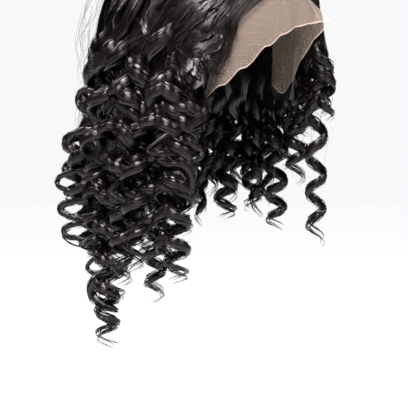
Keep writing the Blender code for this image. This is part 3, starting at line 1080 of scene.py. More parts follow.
@dataclass(frozen=True)
class CurlLayer:
    """A layer of outer curls, with the spans that their sizes are drawn from."""

    count: int
    breaks: tuple
    ends: tuple
    stand: tuple
    pitch: tuple
    wide: tuple


@dataclass
class CrownHair:
    """The waved crown hair: three dark beds with the outer curls laid over.

    The rows of the lower curls each give an azimuth, an end and a stand-off.
    """

    form: HairForm
    sections: tuple = (("right", -126.0, 0.0), ("left", 0.0, 126.0), ("back", 126.0, 234.0))
    back_from: float = 126.0
    outer_from: float = 76.0
    outer_span: float = 208.0
    outer_layers: tuple = (
        CurlLayer(21, (0.060, 0.092), (0.205, 0.265), (0.002, 0.012), (0.040, 0.050), (0.0082, 0.0106)),
        CurlLayer(25, (0.096, 0.130), (0.250, 0.312), (0.006, 0.022), (0.033, 0.041), (0.0070, 0.0090)),
    )
    lower_rows: tuple = (
        (-74, 0.300, 0.012), (-82, 0.335, 0.016), (-79, 0.270, 0.004), (-90, 0.325, 0.004),
        (-97, 0.342, 0.008), (-104, 0.355, 0.010), (-112, 0.372, 0.004), (-120, 0.335, 0.016),
        (-108, 0.330, 0.000), (-127, 0.345, 0.010), (-134, 0.330, 0.010), (-141, 0.318, 0.012),
        (-149, 0.335, 0.008), (-158, 0.335, 0.012), (-168, 0.322, 0.012), (178, 0.330, 0.016),
        (167, 0.318, 0.012), (157, 0.392, 0.006),
    )
    fringe_right: int = 13
    fringe_left: int = 8
    bed_share: float = 0.46
    bed_step: float = 3.0
    comb_share: float = 0.60
    comb_clump: int = 13
    comb_rows: int = 22
    comb_gap: float = 50.0
    comb_least: float = 0.0075
    clumps_per_degree: float = 0.72
    rows_out: int = 26
    rows_in: int = 6
    first_share: float = 0.004
    combed: dict = field(default_factory=dict)
    curled: dict = field(default_factory=dict)

    def bed(self, start: float, end: float) -> tuple[Array, Array]:
        """Works out a bed: the hollow layer of hair under the outer curls.

        Args:
            start: The azimuth where the bed starts.
            end: The azimuth where it ends.

        Returns:
            Its rows of points, and the distance of each row along the bed.
        """
        form, head = self.form, self.form.head
        columns = int((end - start) / self.bed_step) + 1
        azimuth = np.linspace(start - 0.4, end + 0.4, columns)[:, None]
        front = smooth((66.0 - np.abs(wrapped(azimuth))) / 8.0)
        edge, inside = form.edge_level(azimuth) * (1.0 - 0.07 * front), form.inside(azimuth)
        level = edge * np.linspace(self.first_share, 1.0, self.rows_out)[None]
        stand = form.thickness(azimuth, level) * (self.bed_share + 0.12 * front)
        stand = np.maximum(stand + 0.6 * form.relief(azimuth, level), inside + form.edge_lip * 0.4)
        outer = head.point(azimuth, level, stand)
        level = edge * np.linspace(1.0, self.first_share, self.rows_in)[None]
        inner = head.point(azimuth, level, inside + form.cap.lace_stand(azimuth, level))
        outer[:, -1, 2] = np.maximum(outer[:, -1, 2], inner[:, 0, 2])
        outline = np.concatenate([outer, inner], axis=1)
        along = np.radians(azimuth[:, 0] - start) * 0.1
        return outline[None], along[None]

    def comb(self, mesh: HairMesh, start: float, end: float, clumps: int) -> None:
        """Lays fine strands over a bed, combed from the parting or hairline.

        Args:
            mesh: The mesh that the strands are added to.
            start: The azimuth where the bed starts.
            end: The azimuth where it ends.
            clumps: How many clumps of strands there are.
        """
        form, head, rng = self.form, self.form.head, mesh.rng
        low = start + self.comb_gap if start == 0.0 else start
        high = end - self.comb_gap if end <= 0.0 else end
        target = np.linspace(low, high, clumps) + rng.uniform(-2.0, 2.0, clumps)
        side = np.where(wrapped(target) > 0.0, 1.0, -1.0)
        away = np.abs(wrapped(target))
        front = smooth((128.0 - away) / 50.0)
        from_hairline = rng.uniform(0, 1, clumps) < 0.62 * front
        line_root = rng.uniform(6.0, 60.0, clumps) * np.clip((away - 8.0) / 60.0, 0.2, 1.0)
        line_root = np.minimum(line_root, np.where(side > 0, 44.0, 62.0))
        part_root = rng.uniform(1.5, 5.0, clumps) + away * 0.5 * (1.0 - front)
        root = side * np.where(from_hairline, line_root, part_root)
        edge = form.edge_level(root)
        part_level = rng.uniform(0.06, 0.95, clumps) * edge * (0.25 + 0.75 * front)
        level = np.where(from_hairline, edge * rng.uniform(0.90, 1.03, clumps), part_level)
        ending = head.level_of_drop(rng.uniform(0.090, 0.150, clumps))
        last = np.minimum(ending, form.edge_level(target) * 0.98)
        spread = (clumps, self.comb_clump)
        part = np.linspace(0.0, 1.0, self.comb_rows)[None, None]
        jitter = rng.normal(0.0, 1.0, (3, *spread, 1))
        root = (root[:, None, None] + jitter[0] * 2.2)
        target = np.where(side > 0, away, -away)[:, None, None] + jitter[1] * 1.6
        first = level[:, None, None] + jitter[2] * 0.018
        height = first + (last[:, None, None] + jitter[0] * 0.03 - first) * part
        lean = rng.uniform(1.3, 2.2, (clumps, 1, 1))
        azimuth = root + (target - root) * (1.0 - (1.0 - part) ** lean)
        sway = rng.uniform(1.2, 3.0, (clumps, 1, 1))
        beat = 2 * pi * head.drop_of_level(height) / 0.055 + rng.uniform(0, 2, (clumps, 1, 1))
        azimuth = azimuth + sway * np.sin(beat) * smooth(part * 2)
        within = np.minimum(height, form.edge_level(azimuth))
        stand = form.thickness(azimuth, within) * (self.comb_share + rng.uniform(-0.07, 0.09, (clumps, 1, 1)))
        stand = stand + 0.6 * form.relief(azimuth, within) + 0.0012 * jitter[1]
        ripple = 0.0006 * np.sin(rng.uniform(6, 22, (*spread, 1)) * part + 3.0 * jitter[2])
        low_stand = 0.0016 + form.cap.lace_stand(azimuth, within)
        under = np.maximum(stand, self.comb_least) - 0.0035
        low_stand = np.where(from_hairline[:, None, None], low_stand, np.maximum(under, low_stand))
        rise = np.where(from_hairline, 0.30, 0.12)[:, None, None]
        offset = low_stand + (np.maximum(stand, self.comb_least) - low_stand) * smooth(part / rise) + ripple
        centre = head.point(azimuth, height, np.maximum(offset, low_stand))
        centre = centre.reshape(-1, self.comb_rows, 3)
        outward = head.outward(azimuth, height).reshape(centre.shape)
        tangent = unit(np.gradient(centre, axis=1))
        across = unit(np.cross(tangent, outward))
        strands = len(centre)
        half = rng.uniform(0.00022, 0.00065, (strands, 1)) * (0.15 + 0.85 * smooth(part[0] / 0.15))
        half = half * (0.1 + 0.9 * smooth((1.0 - part[0]) / 0.2))
        edges = across * half[..., None]
        grid = np.stack([centre - edges, centre + edges], axis=2)
        mesh.add_grid(grid, distances(centre), rng.uniform(0.0, 1.0, strands), False)

    def section_of(self, azimuth: float) -> str:
        """Names the section in which an azimuth lies.

        Args:
            azimuth: Degrees from the front.

        Returns:
            The section's name.
        """
        azimuth = float(wrapped(azimuth))
        if abs(azimuth) > self.back_from:
            return "back"
        return "left" if azimuth > 0.0 else "right"

    def outer_curls(self) -> list[Curl]:
        """Lists the curls that make the outside of the wig.

        Returns:
            The two outer layers and the lower curls.
        """
        rng = np.random.default_rng(7)
        curls = []
        for number, layer in enumerate(self.outer_layers):
            for step in range(layer.count):
                place = step + 0.5 * number + rng.uniform(-0.2, 0.2)
                azimuth = self.outer_from + self.outer_span * place / layer.count
                side = float(wrapped(azimuth))
                front = smooth((110.0 - abs(side)) / 45.0)
                tuck = smooth((32.0 - abs(side + 142.0)) / 20.0)
                if side > 0.0:
                    stand = rng.uniform(*layer.stand) * 0.35
                    ends = rng.uniform(*layer.ends) - 0.020 - 0.030 * front
                else:
                    stand = rng.uniform(*layer.stand) * (1.0 - 0.5 * front) * (1.0 - 0.7 * tuck)
                    ends = rng.uniform(*layer.ends) - 0.030 * front
                root_azimuth = np.sign(side) * rng.uniform(2.0, 8.0) if abs(side) < 130.0 else side
                root_level = rng.uniform(0.10, 0.42) if abs(side) < 130.0 else rng.uniform(0.03, 0.10)
                if abs(side) < 100.0:
                    root_level = rng.uniform(0.30, 0.50)
                raised = 0.08 if number == 0 and abs(side) < 120.0 else 0.0
                curls.append(Curl(
                    root=(root_azimuth, root_level), azimuth=side, breaks=rng.uniform(*layer.breaks),
                    ends=ends, stand=stand, radius=rng.uniform(0.0105, 0.0145),
                    pitch=rng.uniform(*layer.pitch), wide=rng.uniform(*layer.wide),
                    thin=rng.uniform(0.0040, 0.0056), phase=rng.uniform(-0.7, 0.7),
                    hand=rng.choice(list(Hand)), tip=rng.uniform(0.35, 0.6),
                    lift=rng.uniform(0.60, 0.78) + raised - 0.10 * tuck, sway=rng.uniform(-3.0, 3.0),
                    tighten=0.24, sunk=0.45,
                ))
        return curls + self.lower_curls()

    def lower_curls(self) -> list[Curl]:
        """Lists the curls that hang lowest, from the right temple round the back.

        Returns:
            The lower curls.
        """
        rng = np.random.default_rng(17)
        curls = []
        for step, (azimuth, ends, stand) in enumerate(self.lower_rows):
            curls.append(Curl(
                root=(azimuth * 0.9, 0.30), azimuth=float(azimuth), breaks=rng.uniform(0.12, 0.15), ends=ends,
                stand=stand, radius=rng.uniform(0.0105, 0.0140), pitch=rng.uniform(0.030, 0.037),
                wide=rng.uniform(0.0066, 0.0088), thin=rng.uniform(0.0036, 0.0048),
                phase=rng.uniform(-0.8, 0.8), hand=Hand.RIGHT if step % 2 else Hand.LEFT,
                tip=rng.uniform(0.5, 0.7), lift=rng.uniform(0.55, 0.72), tighten=0.40,
            ))
        return curls

    def hairline_curls(self) -> list[Curl]:
        """Lists the finer locks combed back and down from the hairline.

        Returns:
            The locks on the right, then those on the left.
        """
        rng = np.random.default_rng(11)
        curls = []
        for step in range(self.fringe_right):
            share = step / (self.fringe_right - 1)
            root = -8.0 - 52.0 * share
            curls.append(self.fringe(rng, root, -68.0 - 42.0 * (1.0 - share) + rng.uniform(-3, 3)))
        for step in range(self.fringe_left):
            share = step / (self.fringe_left - 1)
            root = 8.0 + 36.0 * share
            curls.append(self.fringe(rng, root, 74.0 - 22.0 * share + rng.uniform(-2, 2)))
        return curls

    def fringe(self, rng: np.random.Generator, root: float, azimuth: float) -> Curl:
        """Makes one of the hairline's locks.

        Args:
            rng: The seeded random numbers.
            root: The azimuth of its root on the hairline.
            azimuth: The azimuth to which it is combed.

        Returns:
            The lock.
        """
        edge = float(self.form.edge_level(root))
        breaks = rng.uniform(0.112, 0.145) if azimuth < 0 else rng.uniform(0.085, 0.105)
        return Curl(
            root=(root, edge * rng.uniform(0.86, 0.95)), azimuth=azimuth, breaks=breaks,
            ends=rng.uniform(0.215, 0.270) if azimuth < 0 else rng.uniform(0.170, 0.215),
            stand=rng.uniform(0.0, 0.006), radius=rng.uniform(0.008, 0.012), pitch=rng.uniform(0.036, 0.046),
            wide=rng.uniform(0.0070, 0.0105), thin=rng.uniform(0.0026, 0.0038), phase=rng.uniform(-1, 1),
            hand=rng.choice(list(Hand)), lift=rng.uniform(0.62, 0.82), tip=0.35, sway=rng.uniform(-2, 2),
        )

    def build(self, material: bpy.types.Material) -> None:
        """Builds each section's bed and curls in place of its node.

        Args:
            material: The hair's finish.
        """
        for number, (name, start, end) in enumerate(self.sections):
            self.combed[name], self.curled[name] = HairMesh(200 + number), HairMesh(210 + number)
            grid, along = self.bed(start, end)
            self.combed[name].add_grid(grid, along, 0.15, True)
            self.comb(self.combed[name], start, end, round((end - start) * self.clumps_per_degree))
        for curl in self.outer_curls():
            look = LockLook(strands=28, strays=3, fray=0.6, split=0.0026)
            self.curled[self.section_of(curl.azimuth)].add_lock(curl.line(self.form), look)
        for curl in self.hairline_curls():
            look = LockLook(strands=22, strays=4, fray=0.7, split=0.0024)
            self.combed[self.section_of(curl.azimuth)].add_lock(curl.line(self.form), look)
        for name, mesh in self.combed.items():
            piece = mesh.build(f"{name}_combed_hair", material)
            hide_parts(f"{name}_crown_hair")
        for name, mesh in self.curled.items():
            mesh.build(f"{name}_outer_curls", material)


@dataclass
class UnderHair:
    """The inner layer: a curtain of waved locks that ends in loose curls."""

    form: HairForm
    ringlets: Ringlets
    sections: tuple = (("right", -126.0, -70.0), ("left", 75.0, 126.0), ("back", 126.0, 234.0))
    spacing: float = 5.5
    wide: float = 0.0082
    thin: float = 0.0026
    overlap: float = 0.062
    back_from: float = 84.0
    layer_gap: float = 0.0045
    row_step: float = 0.0042

    def lock(self, azimuth: float, layer: int, rng: np.random.Generator) -> LockLine:
        """Works out a lock that lies under the crown hair, then hangs free.

        Args:
            azimuth: Where it hangs.
            layer: 0 for the inner layer, 1 for the one behind it.
            rng: The seeded random numbers.

        Returns:
            The lock's course.
        """
        form, head = self.form, self.form.head
        rim = float(form.edge_drop(azimuth))
        top = max(float(head.drop_of_level(form.cap.seam_level(azimuth))) + 0.001, rim - self.overlap)
        front = abs(float(wrapped(azimuth))) < self.back_from
        end = rim + (rng.uniform(0.035, 0.060) if front else rng.uniform(0.085, 0.140))
        drop = np.linspace(top, end, int((end - top) / self.row_step))
        level = np.minimum(head.level_of_drop(drop), form.edge_level(azimuth))
        path = head.point(azimuth, level, form.inside(azimuth) + self.layer_gap * layer)
        path[:, 2] = -drop
        towards = self.ringlets.direction(azimuth)
        across = np.array([-towards[1], towards[0], 0.0])
        free = np.maximum(drop - rim + 0.012, 0.0)
        angle = rng.uniform(0, 2 * pi) + rng.choice((-1, 1)) * 2 * pi * free / rng.uniform(0.032, 0.042)
        reach = rng.uniform(0.0055, 0.0085) * smooth(free / 0.055)
        sway = 0.0022 * np.sin(2 * pi * drop / rng.uniform(0.035, 0.055) + rng.uniform(0, 6))
        path = path + towards * (reach * (1.0 + np.cos(angle)))[:, None]
        path = path + across * (reach * np.sin(angle) + sway)[:, None]
        radial = towards * np.cos(angle)[:, None] + across * np.sin(angle)[:, None]
        turned = smooth(free / 0.05)[:, None]
        out = unit(towards * (1.0 - turned) + radial * turned)
        share = (drop - top) / (end - top)
        taper = (1.0 - 0.45 * share) * (0.15 + 0.85 * smooth((1.0 - share) / 0.16))
        taper = taper * (0.5 + 0.5 * smooth(share / 0.1))
        return LockLine(path, out, self.wide * taper, self.thin * taper * (1.0 + 0.5 * turned[:, 0]))

    def build(self, material: bpy.types.Material) -> None:
        """Builds each section in place of its node.

        Args:
            material: The hair's finish.
        """
        for number, (name, start, end) in enumerate(self.sections):
            mesh, rng = HairMesh(300 + number), np.random.default_rng(310 + number)
            count = round((end - start) / self.spacing)
            for step in range(count):
                place = step + 0.5 + rng.uniform(-0.15, 0.15)
                line = self.lock(start + (end - start) * place / count, step % 2, rng)
                mesh.add_lock(line, LockLook(strands=20, strays=2, fray=0.7, split=0.0024))
            piece = mesh.build(f"{name}_under_curls", material)
            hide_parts(f"{name}_under_hair")


@dataclass(frozen=True)
class FreeLock:
    """A lock that leaves the mass in a bend of its own.

    Its points are measured across the front quarter view and up from the
    crown; depth is how far it lies towards that side. The name only labels
    the row.
    """

    name: str
    wide: float
    thin: float
    depth: float
    points: tuple


@dataclass(frozen=True)
class FreeLocks:
    """The loops, hooks and tight spirals that stand clear of the mass."""

    across: tuple = (0.643, -0.766, 0.0)
    towards: tuple = (-0.766, -0.643, 0.0)
    swing: float = 0.006
    steps: int = 7
    strands: int = 22
    wisp_strands: int = 7
    wisp_below: float = 0.002
    rows: tuple = (
        FreeLock("back_loop_high", 0.003, 0.0022, 0.000, (
            (-0.129, -0.157), (-0.141, -0.155), (-0.148, -0.160), (-0.149, -0.169), (-0.144, -0.176),
            (-0.132, -0.182),
        )),
        FreeLock("back_loop_mid", 0.004, 0.003, 0.004, (
            (-0.128, -0.195), (-0.143, -0.198), (-0.155, -0.203), (-0.159, -0.212), (-0.153, -0.220),
            (-0.142, -0.224), (-0.128, -0.221),
        )),
        FreeLock("back_loop_thin", 0.0026, 0.002, 0.002, (
            (-0.130, -0.237), (-0.149, -0.240), (-0.162, -0.243), (-0.170, -0.248), (-0.171, -0.254),
            (-0.166, -0.258), (-0.153, -0.262), (-0.132, -0.268),
        )),
        FreeLock("back_loop_low", 0.0038, 0.0027, 0.006, (
            (-0.124, -0.274), (-0.143, -0.271), (-0.158, -0.273), (-0.166, -0.277), (-0.166, -0.283),
            (-0.155, -0.288), (-0.141, -0.292), (-0.122, -0.298),
        )),
        FreeLock("back_loop_last", 0.0032, 0.0024, 0.010, (
            (-0.126, -0.296), (-0.145, -0.295), (-0.158, -0.297), (-0.164, -0.302), (-0.161, -0.308),
            (-0.147, -0.310), (-0.128, -0.313),
        )),
        FreeLock("back_wisp", 0.0007, 0.0006, 0.012, (
            (-0.155, -0.300), (-0.164, -0.306), (-0.162, -0.312), (-0.151, -0.318), (-0.139, -0.318),
            (-0.128, -0.312),
        )),
        FreeLock("nape_loop", 0.0024, 0.0018, 0.030, (
            (-0.099, -0.319), (-0.118, -0.326), (-0.132, -0.331), (-0.138, -0.339), (-0.132, -0.345),
            (-0.120, -0.342), (-0.103, -0.331),
        )),
        FreeLock("nape_hook", 0.0052, 0.0036, 0.036, (
            (-0.092, -0.331), (-0.111, -0.342), (-0.127, -0.350), (-0.133, -0.359), (-0.131, -0.369),
            (-0.122, -0.376), (-0.109, -0.381), (-0.104, -0.382),
        )),
        FreeLock("cheek_spiral", 0.0040, 0.0034, 0.110, (
            (-0.061, -0.226), (-0.052, -0.230), (-0.040, -0.230), (-0.031, -0.238), (-0.030, -0.250),
            (-0.037, -0.258), (-0.047, -0.258), (-0.053, -0.250), (-0.050, -0.241), (-0.041, -0.240),
            (-0.038, -0.247), (-0.044, -0.251),
        )),
        FreeLock("cheek_loop", 0.0036, 0.0026, 0.106, (
            (-0.073, -0.218), (-0.057, -0.220), (-0.040, -0.218), (-0.027, -0.207), (-0.032, -0.197),
            (-0.044, -0.197), (-0.059, -0.205), (-0.073, -0.216),
        )),
    )

    def line(self, row: FreeLock) -> LockLine:
        """Works out a free lock's course as a curve through its points.

        Args:
            row: The free lock.

        Returns:
            Its centre line, outward side and half sizes.
        """
        across, towards = np.array(self.across), np.array(self.towards)
        depth = row.depth + self.swing * np.cos(np.linspace(0.0, 2 * pi, len(row.points)))
        knots = np.array(row.points)
        knots = across * knots[:, :1] + np.array([0.0, 0.0, 1.0]) * knots[:, 1:] + towards * depth[:, None]
        knots = np.concatenate([2 * knots[:1] - knots[1:2], knots, 2 * knots[-1:] - knots[-2:-1]])
        share = np.linspace(0.0, 1.0, self.steps, endpoint=False)[:, None]
        spans = []
        for before, start, end, after in zip(knots, knots[1:], knots[2:], knots[3:]):
            straight = 2 * start + (end - before) * share
            bent = (2 * before - 5 * start + 4 * end - after) * share**2
            twisted = (3 * start - before - 3 * end + after) * share**3
            spans.append(0.5 * (straight + bent + twisted))
        path = np.concatenate([*spans, knots[-2:-1]])
        along = np.linspace(0.0, 1.0, len(path))
        taper = (0.6 + 0.4 * smooth(along / 0.15)) * (0.25 + 0.75 * smooth((1.0 - along) / 0.25))
        out = np.broadcast_to(towards, path.shape)
        return LockLine(path, out, row.wide * taper, row.thin * taper)

    def build(self, material: bpy.types.Material) -> None:
        """Builds the free locks as one piece.

        Args:
            material: The hair's finish.
        """
        mesh = HairMesh(350)
        for row in self.rows:
            strands = self.strands if row.wide > self.wisp_below else self.wisp_strands
            mesh.add_lock(self.line(row), LockLook(strands=strands, strays=2, fray=0.4, split=row.wide * 0.3))
        mesh.build("free_loops", material)


@dataclass
class LooseHairs:
    """Single hairs that have left the locks, and the fine hairs of the hairline."""

    form: HairForm
    flyaways: int = 220
    flyaway_rows: int = 22
    fine_hairs: int = 300
    fine_rows: int = 14
    wisp_share: float = 0.10

    def flying(self, rng: np.random.Generator) -> Array:
        """Works out the hairs that stand off the outside of the wig.

        Args:
            rng: The seeded random numbers.

        Returns:
            Points, as hairs x rows x 3.
        """
        count = self.flyaways
        share = np.linspace(0, 1, self.flyaway_rows)[None]
        azimuth = rng.uniform(60, 300, (count, 1))
        top = rng.uniform(0.02, 0.20, (count, 1))
        length = rng.uniform(0.03, 0.09, (count, 1))
        drop = top + length * share
        bend = rng.normal(0, 7.0, (count, 1)) * share + rng.uniform(2, 5, (count, 1)) * np.sin(
            share * rng.uniform(4, 9, (count, 1)) + rng.uniform(0, 6, (count, 1)))
        place = wrapped(azimuth + bend)
        level = np.minimum(self.form.head.level_of_drop(drop), self.form.edge_level(place))
        offset = self.form.thickness(place, level) * 0.95 + rng.uniform(0.002, 0.012, (count, 1)) * share
        offset = offset + 0.006 * np.sin(share * rng.uniform(3, 8, (count, 1))) * share
        return self.form.head.hanging(place, drop, offset)

    def hairline(self, rng: np.random.Generator) -> Array:
        """Works out the fine hairs that lie back over the hairline.

        Args:
            rng: The seeded random numbers.

        Returns:
            Points, as hairs x rows x 3.
        """
        count = self.fine_hairs
        share = np.linspace(0, 1, self.fine_rows)[None]
        root = rng.uniform(-62, 46, (count, 1))
        level = self.form.edge_level(root) + rng.uniform(-0.02, 0.055, (count, 1))
        wisp = rng.uniform(0, 1, (count, 1)) < self.wisp_share
        towards = np.sign(root) * rng.uniform(5, 16, (count, 1)) * np.where(wisp, 2.4, 1.0)
        azimuth = root + towards * share + 1.5 * np.sin(share * 6 + root)
        rise = rng.uniform(-0.10, 0.09, (count, 1)) * np.where(wisp, 1.8, 1.0)
        height = level + rise * share + 0.03 * share**2
        bow = np.where(wisp, 0.013, 0.006) * np.sin(share * pi) * rng.uniform(0.2, 1.0, (count, 1))
        offset = 0.0022 + self.form.cap.lace_stand(azimuth, height) + bow
        return self.form.head.point(azimuth, height, offset)

    def build(self, material: bpy.types.Material) -> None:
        """Builds the flyaway hairs and the fine hairs of the hairline.

        Args:
            material: The hair's finish.
        """
        mesh = HairMesh(400)
        mesh.add_hairs(self.flying(mesh.rng), mesh.rng.uniform(0.00010, 0.00018, self.flyaways))
        mesh.build("flyaway_hairs", material)
        mesh = HairMesh(401)
        mesh.add_hairs(self.hairline(mesh.rng), mesh.rng.uniform(0.00009, 0.00014, self.fine_hairs))
        mesh.build("hairline_hairs", material)


@dataclass
class LaceFront:
    """The untrimmed sheer lace: a film of net, its threads and its cut edge."""

    form: HairForm
    columns: int = 169
    rows: int = 40
    cell: float = 0.0017
    thread: float = 0.00008
    seam_gap: float = 0.0005
    thread_rows: int = 72
    thread_lift: float = 0.00012
    honeycomb_step: float = 0.866
    film_gap: float = 0.0007
    width: float = 0.285
    edge_width: float = 0.0013
    edge_lift: float = 0.0002

    def surface(self, across: Array, down: Array) -> Array:
        """Finds points on the lace.

        Args:
            across: 0 at the right end, 1 at the left end.
            down: 0 at the seam, 1 at the free edge.

        Returns:
            The points, with a last axis of three.
        """
        cap, head = self.form.cap, self.form.head
        low, high = cap.lace_ends
        azimuth = low + (high - low) * across
        seam = cap.seam_level(azimuth) + self.seam_gap / (head.crown_to_widest * pi / 2)
        level = seam + (cap.lace_level(azimuth) - seam) * down
        ripple = 0.0006 * np.sin(across * 70) * down**2 + 0.0004 * np.sin(across * 41 + down * 9) * down
        return head.point(azimuth, level, cap.lace_stand(azimuth, level) + self.film_gap + ripple)

    def film(self, material: bpy.types.Material) -> bpy.types.Object:
        """Builds the film, a single open sheet.

        Args:
            material: The film's finish.

        Returns:
            The film.
        """
        across = np.linspace(0, 1, self.columns)[:, None]
        down = np.linspace(0, 1, self.rows)[None]
        faces = []
        for column in range(self.columns - 1):
            for row in range(self.rows - 1):
                corner = column * self.rows + row
                faces.append((corner, corner + 1, corner + self.rows + 1, corner + self.rows))
        mesh = bpy.data.meshes.new("lace_film")
        mesh.from_pydata(self.surface(across, down).reshape(-1, 3).tolist(), [], faces)
        mesh.shade_smooth()
        return place_piece("lace_film", mesh, material)

    def threads(self, material: bpy.types.Material) -> bpy.types.Object:
        """Builds the net's threads as a honeycomb of fine flat ribbons.

        Args:
            material: The threads' finish.

        Returns:
            The threads, with the cut edge.
        """
        count = int(self.width / (self.cell * self.honeycomb_step))
        step = self.cell / 2
        segments = []
        for column in range(count):
            middle, after, before = (column + 0.5) / count, (column + 1.0) / count, column / count
            for row in range(self.thread_rows):
                top = (row * 3 + (1.5 if column % 2 else 0.0)) * step
                fork, foot = top + step, top + 1.5 * step
                segments.append((middle, top, middle, fork))
                segments.append((middle, fork, after, foot))
                segments.append((middle, fork, before, foot))
        ends = np.array(segments)
        lengths = self.reach(ends[:, 0]), self.reach(ends[:, 2])
        kept = (ends[:, 1] < lengths[0]) & (ends[:, 3] < lengths[1]) & (ends[:, 2] >= 0) & (ends[:, 2] <= 1)
        ends = ends[kept]
        first = self.surface(ends[:, 0], ends[:, 1] / lengths[0][kept])
        last = self.surface(ends[:, 2], ends[:, 3] / lengths[1][kept])
        outward = unit(first * np.array([1.0, 1.0, 0.3]))
        side = unit(np.cross(last - first, outward)) * self.thread
        lift = outward * self.thread_lift
        tops, feet = np.stack([first - side, first + side], 1), np.stack([last - side, last + side], 1)
        grid = np.stack([tops, feet], 1) + lift[:, None, None]
        mesh = HairMesh(500)
        mesh.add_grid(grid, np.tile([0.0, self.cell], (len(grid), 1)), 0.5, False)
        across = np.linspace(0.002, 0.998, self.columns * 2)
        reach = self.reach(across)
        edge = self.surface(across, np.ones_like(across))
        turned = self.surface(across, 1.0 - self.edge_width / reach)
        lifted = unit(edge * np.array([1.0, 1.0, 0.3])) * self.edge_lift
        strip = np.stack([edge, turned], axis=1) + lifted[:, None]
        mesh.add_grid(strip[None], across[None] * self.width, 0.8, False)
        return mesh.build("lace_threads", material, Slot.LACE)

    def reach(self, across: Array) -> Array:
        """Gives how long the lace is from the seam down to its free edge.

        Args:
            across: 0 at the right end, 1 at the left end.

        Returns:
            The length at each place.
        """
        cap, head = self.form.cap, self.form.head
        azimuth = cap.lace_ends[0] + (cap.lace_ends[1] - cap.lace_ends[0]) * across
        return (cap.lace_level(azimuth) - cap.seam_level(azimuth)) * head.crown_to_widest * pi / 2

    def build(self, film_finish: bpy.types.Material, thread_finish: bpy.types.Material) -> None:
        """Builds the lace in place of its node and logs the film's area.

        Args:
            film_finish: The film's finish.
            thread_finish: The threads' finish.
        """
        film = self.film(film_finish)
        threads = self.threads(thread_finish)
        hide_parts("lace_front")
        area = sum(face.area for face in film.data.polygons)
        log.info("lace film: %.5f m2", area)


@dataclass
class Studio:
    """The pale floor, the soft lights and the camera."""

    target: tuple = (-0.0109, 0.0130, -0.281)
    azimuth: float = -50.0
    elevation: float = 3.0
    distance: float = 1.654
    lens: float = 135.0
    floor_height: float = -0.95
    backdrop: tuple = (0.93, 0.94, 0.95, 1.0)
    fill: float = 0.05
    lamps: tuple = (
        ("key_softbox", (-1.6, -0.7, 1.6), 1.1, 225.0),
        ("front_softbox", (0.4, -1.9, 1.2), 1.1, 60.0),
        ("back_softbox", (-0.7, 1.7, 1.6), 1.2, 62.0),
    )

    def floor(self, material: bpy.types.Material) -> None:
        """Lays the floor as a wide disc.

        Args:
            material: The floor's finish.
        """
        bpy.ops.mesh.primitive_circle_add(vertices=96, radius=14.0, fill_type="NGON",
                                          location=(0, 0, self.floor_height))
        floor = bpy.context.object
        floor.name = "studio_floor"
        floor.data.materials.append(material)

    def light(self, name: str, place: tuple, size: float, power: float) -> None:
        """Hangs a square soft light that faces the wig.

        Args:
            name: The light's name.
            place: Where it hangs.
            size: The side of its square.
            power: Its power in watts.
        """
        data = bpy.data.lights.new(name, "AREA")
        data.size = size
        data.energy = power
        lamp = bpy.data.objects.new(name, data)
        lamp.location = place
        lamp.rotation_euler = (Vector(self.target) - Vector(place)).to_track_quat("-Z", "Y").to_euler()
        bpy.context.scene.collection.objects.link(lamp)

    def camera(self) -> None:
        """Sets the camera at the photograph's angle."""
        turn, tilt = np.radians(self.azimuth), np.radians(self.elevation)
        away = Vector((np.sin(turn) * np.cos(tilt), -np.cos(turn) * np.cos(tilt), np.sin(tilt)))
        data = bpy.data.cameras.new("camera")
        data.lens = self.lens
        data.sensor_width = 36.0
        camera = bpy.data.objects.new("camera", data)
        camera.location = Vector(self.target) + away * self.distance
        camera.rotation_euler = (-away).to_track_quat("-Z", "Y").to_euler()
        bpy.context.scene.collection.objects.link(camera)
        bpy.context.scene.camera = camera

    def build(self) -> None:
        """Sets up the whole studio, whose backdrop lights the wig only weakly."""
        self.camera()
        self.floor(FloorFinish().make())
        world = bpy.data.worlds.new("white_studio")
        world.use_nodes = True
        tree = world.node_tree
        seen = tree.nodes["Background"]
        seen.inputs["Color"].default_value = self.backdrop
        fill = tree.nodes.new("ShaderNodeBackground")
        fill.inputs["Color"].default_value = self.backdrop
        fill.inputs["Strength"].default_value = self.fill
        blend = tree.nodes.new("ShaderNodeMixShader")
        rays = tree.nodes.new("ShaderNodeLightPath")
        tree.links.new(rays.outputs["Is Camera Ray"], blend.inputs[0])
        tree.links.new(fill.outputs[0], blend.inputs[1])
        tree.links.new(seen.outputs[0], blend.inputs[2])
        tree.links.new(blend.outputs[0], tree.nodes["World Output"].inputs["Surface"])
        bpy.context.scene.world = world
        for name, place, size, power in self.lamps:
            self.light(name, place, size, power)
        bpy.context.scene.view_settings.view_transform = "Standard"


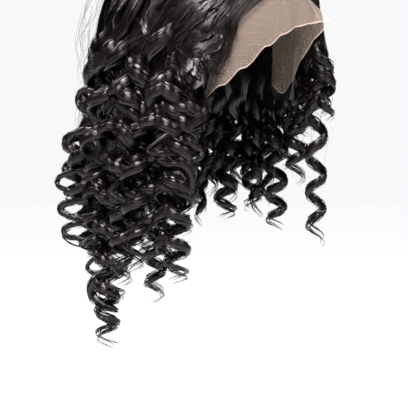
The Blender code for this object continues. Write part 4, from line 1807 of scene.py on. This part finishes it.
@dataclass(frozen=True)
class CapNet:
    """The stretch-net cap, with a thicker hem and rows of sewn weft inside."""

    form: HairForm
    wall: float = 0.0012
    columns: int = 121
    rows: int = 40
    hem: float = 0.0005
    wefts: int = 17
    weft_from: float = 46.0
    weft_half: tuple = (0.0013, 0.0005)

    def shell(self) -> tuple[Array, Array]:
        """Works out the cap's wall as one outline for each azimuth.

        Returns:
            Its rows of points, and the distance of each row along the wall.
        """
        head, cap = self.form.head, self.form.cap
        azimuth = np.linspace(-180.0, 180.0, self.columns)[:, None]
        share = np.linspace(0.004, 1.0, self.rows)[None]
        hem = self.hem * smooth((share - 0.97) / 0.02)
        level = cap.seam_level(azimuth) * share
        outer = head.point(azimuth, level, self.wall + hem)
        inner = head.point(azimuth, level, 0.0002 - 0.4 * hem)
        outline = np.concatenate([outer, inner[:, ::-1]], axis=1)
        return outline[None], np.radians(azimuth[:, 0] + 180.0)[None] * 0.1

    def rows_of_weft(self) -> tuple[Array, Array]:
        """Works out the wefts: flat bands sewn across the cap from ear to ear.

        Returns:
            Their rows of points, and the distance of each row down its weft.
        """
        head, cap = self.form.head, self.form.cap
        azimuth = np.linspace(self.weft_from, 360.0 - self.weft_from, self.columns)[None]
        place = (np.arange(self.wefts)[:, None] + 1.4) / (self.wefts + 1)
        level = cap.seam_level(azimuth) * place
        middle = head.point(azimuth, level, 0.0002)
        outward = head.outward(azimuth, level)
        down = unit(head.point(azimuth, level + 0.02, 0.0002) - middle)
        turn = np.linspace(0, 2 * pi, 6, endpoint=False)[None, None, :, None]
        tall, thick = self.weft_half
        ring = np.cos(turn) * tall * down[:, :, None] + np.sin(turn) * thick * outward[:, :, None]
        return middle[:, :, None] + ring, distances(middle)

    def build(self, material: bpy.types.Material) -> None:
        """Builds the cap in place of its node.

        Args:
            material: The net's finish.
        """
        mesh = HairMesh(600)
        mesh.add_grid(*self.shell(), 0.0, True)
        mesh.add_grid(*self.rows_of_weft(), 1.0, True)
        piece = mesh.build("stretch_net_cap", material, Slot.CAP_NET)
        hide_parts("wig_cap")


def main() -> None:
    """Builds the wig's pieces in order and sets up the studio."""
    logging.basicConfig(level=logging.INFO, format="%(name)s %(message)s")
    form = HairForm()
    hair = HairFinish().make()
    CapNet(form).build(NetFinish().make())
    ringlets = Ringlets(form)
    ringlets.build(hair)
    CrownHair(form).build(hair)
    UnderHair(form, ringlets).build(hair)
    FreeLocks().build(hair)
    LooseHairs(form).build(hair)
    LaceFront(form).build(LaceFinish().make(), LaceFinish("lace_thread", alpha=0.45).make())
    Studio().build()


if __name__ == "__main__":
    main()
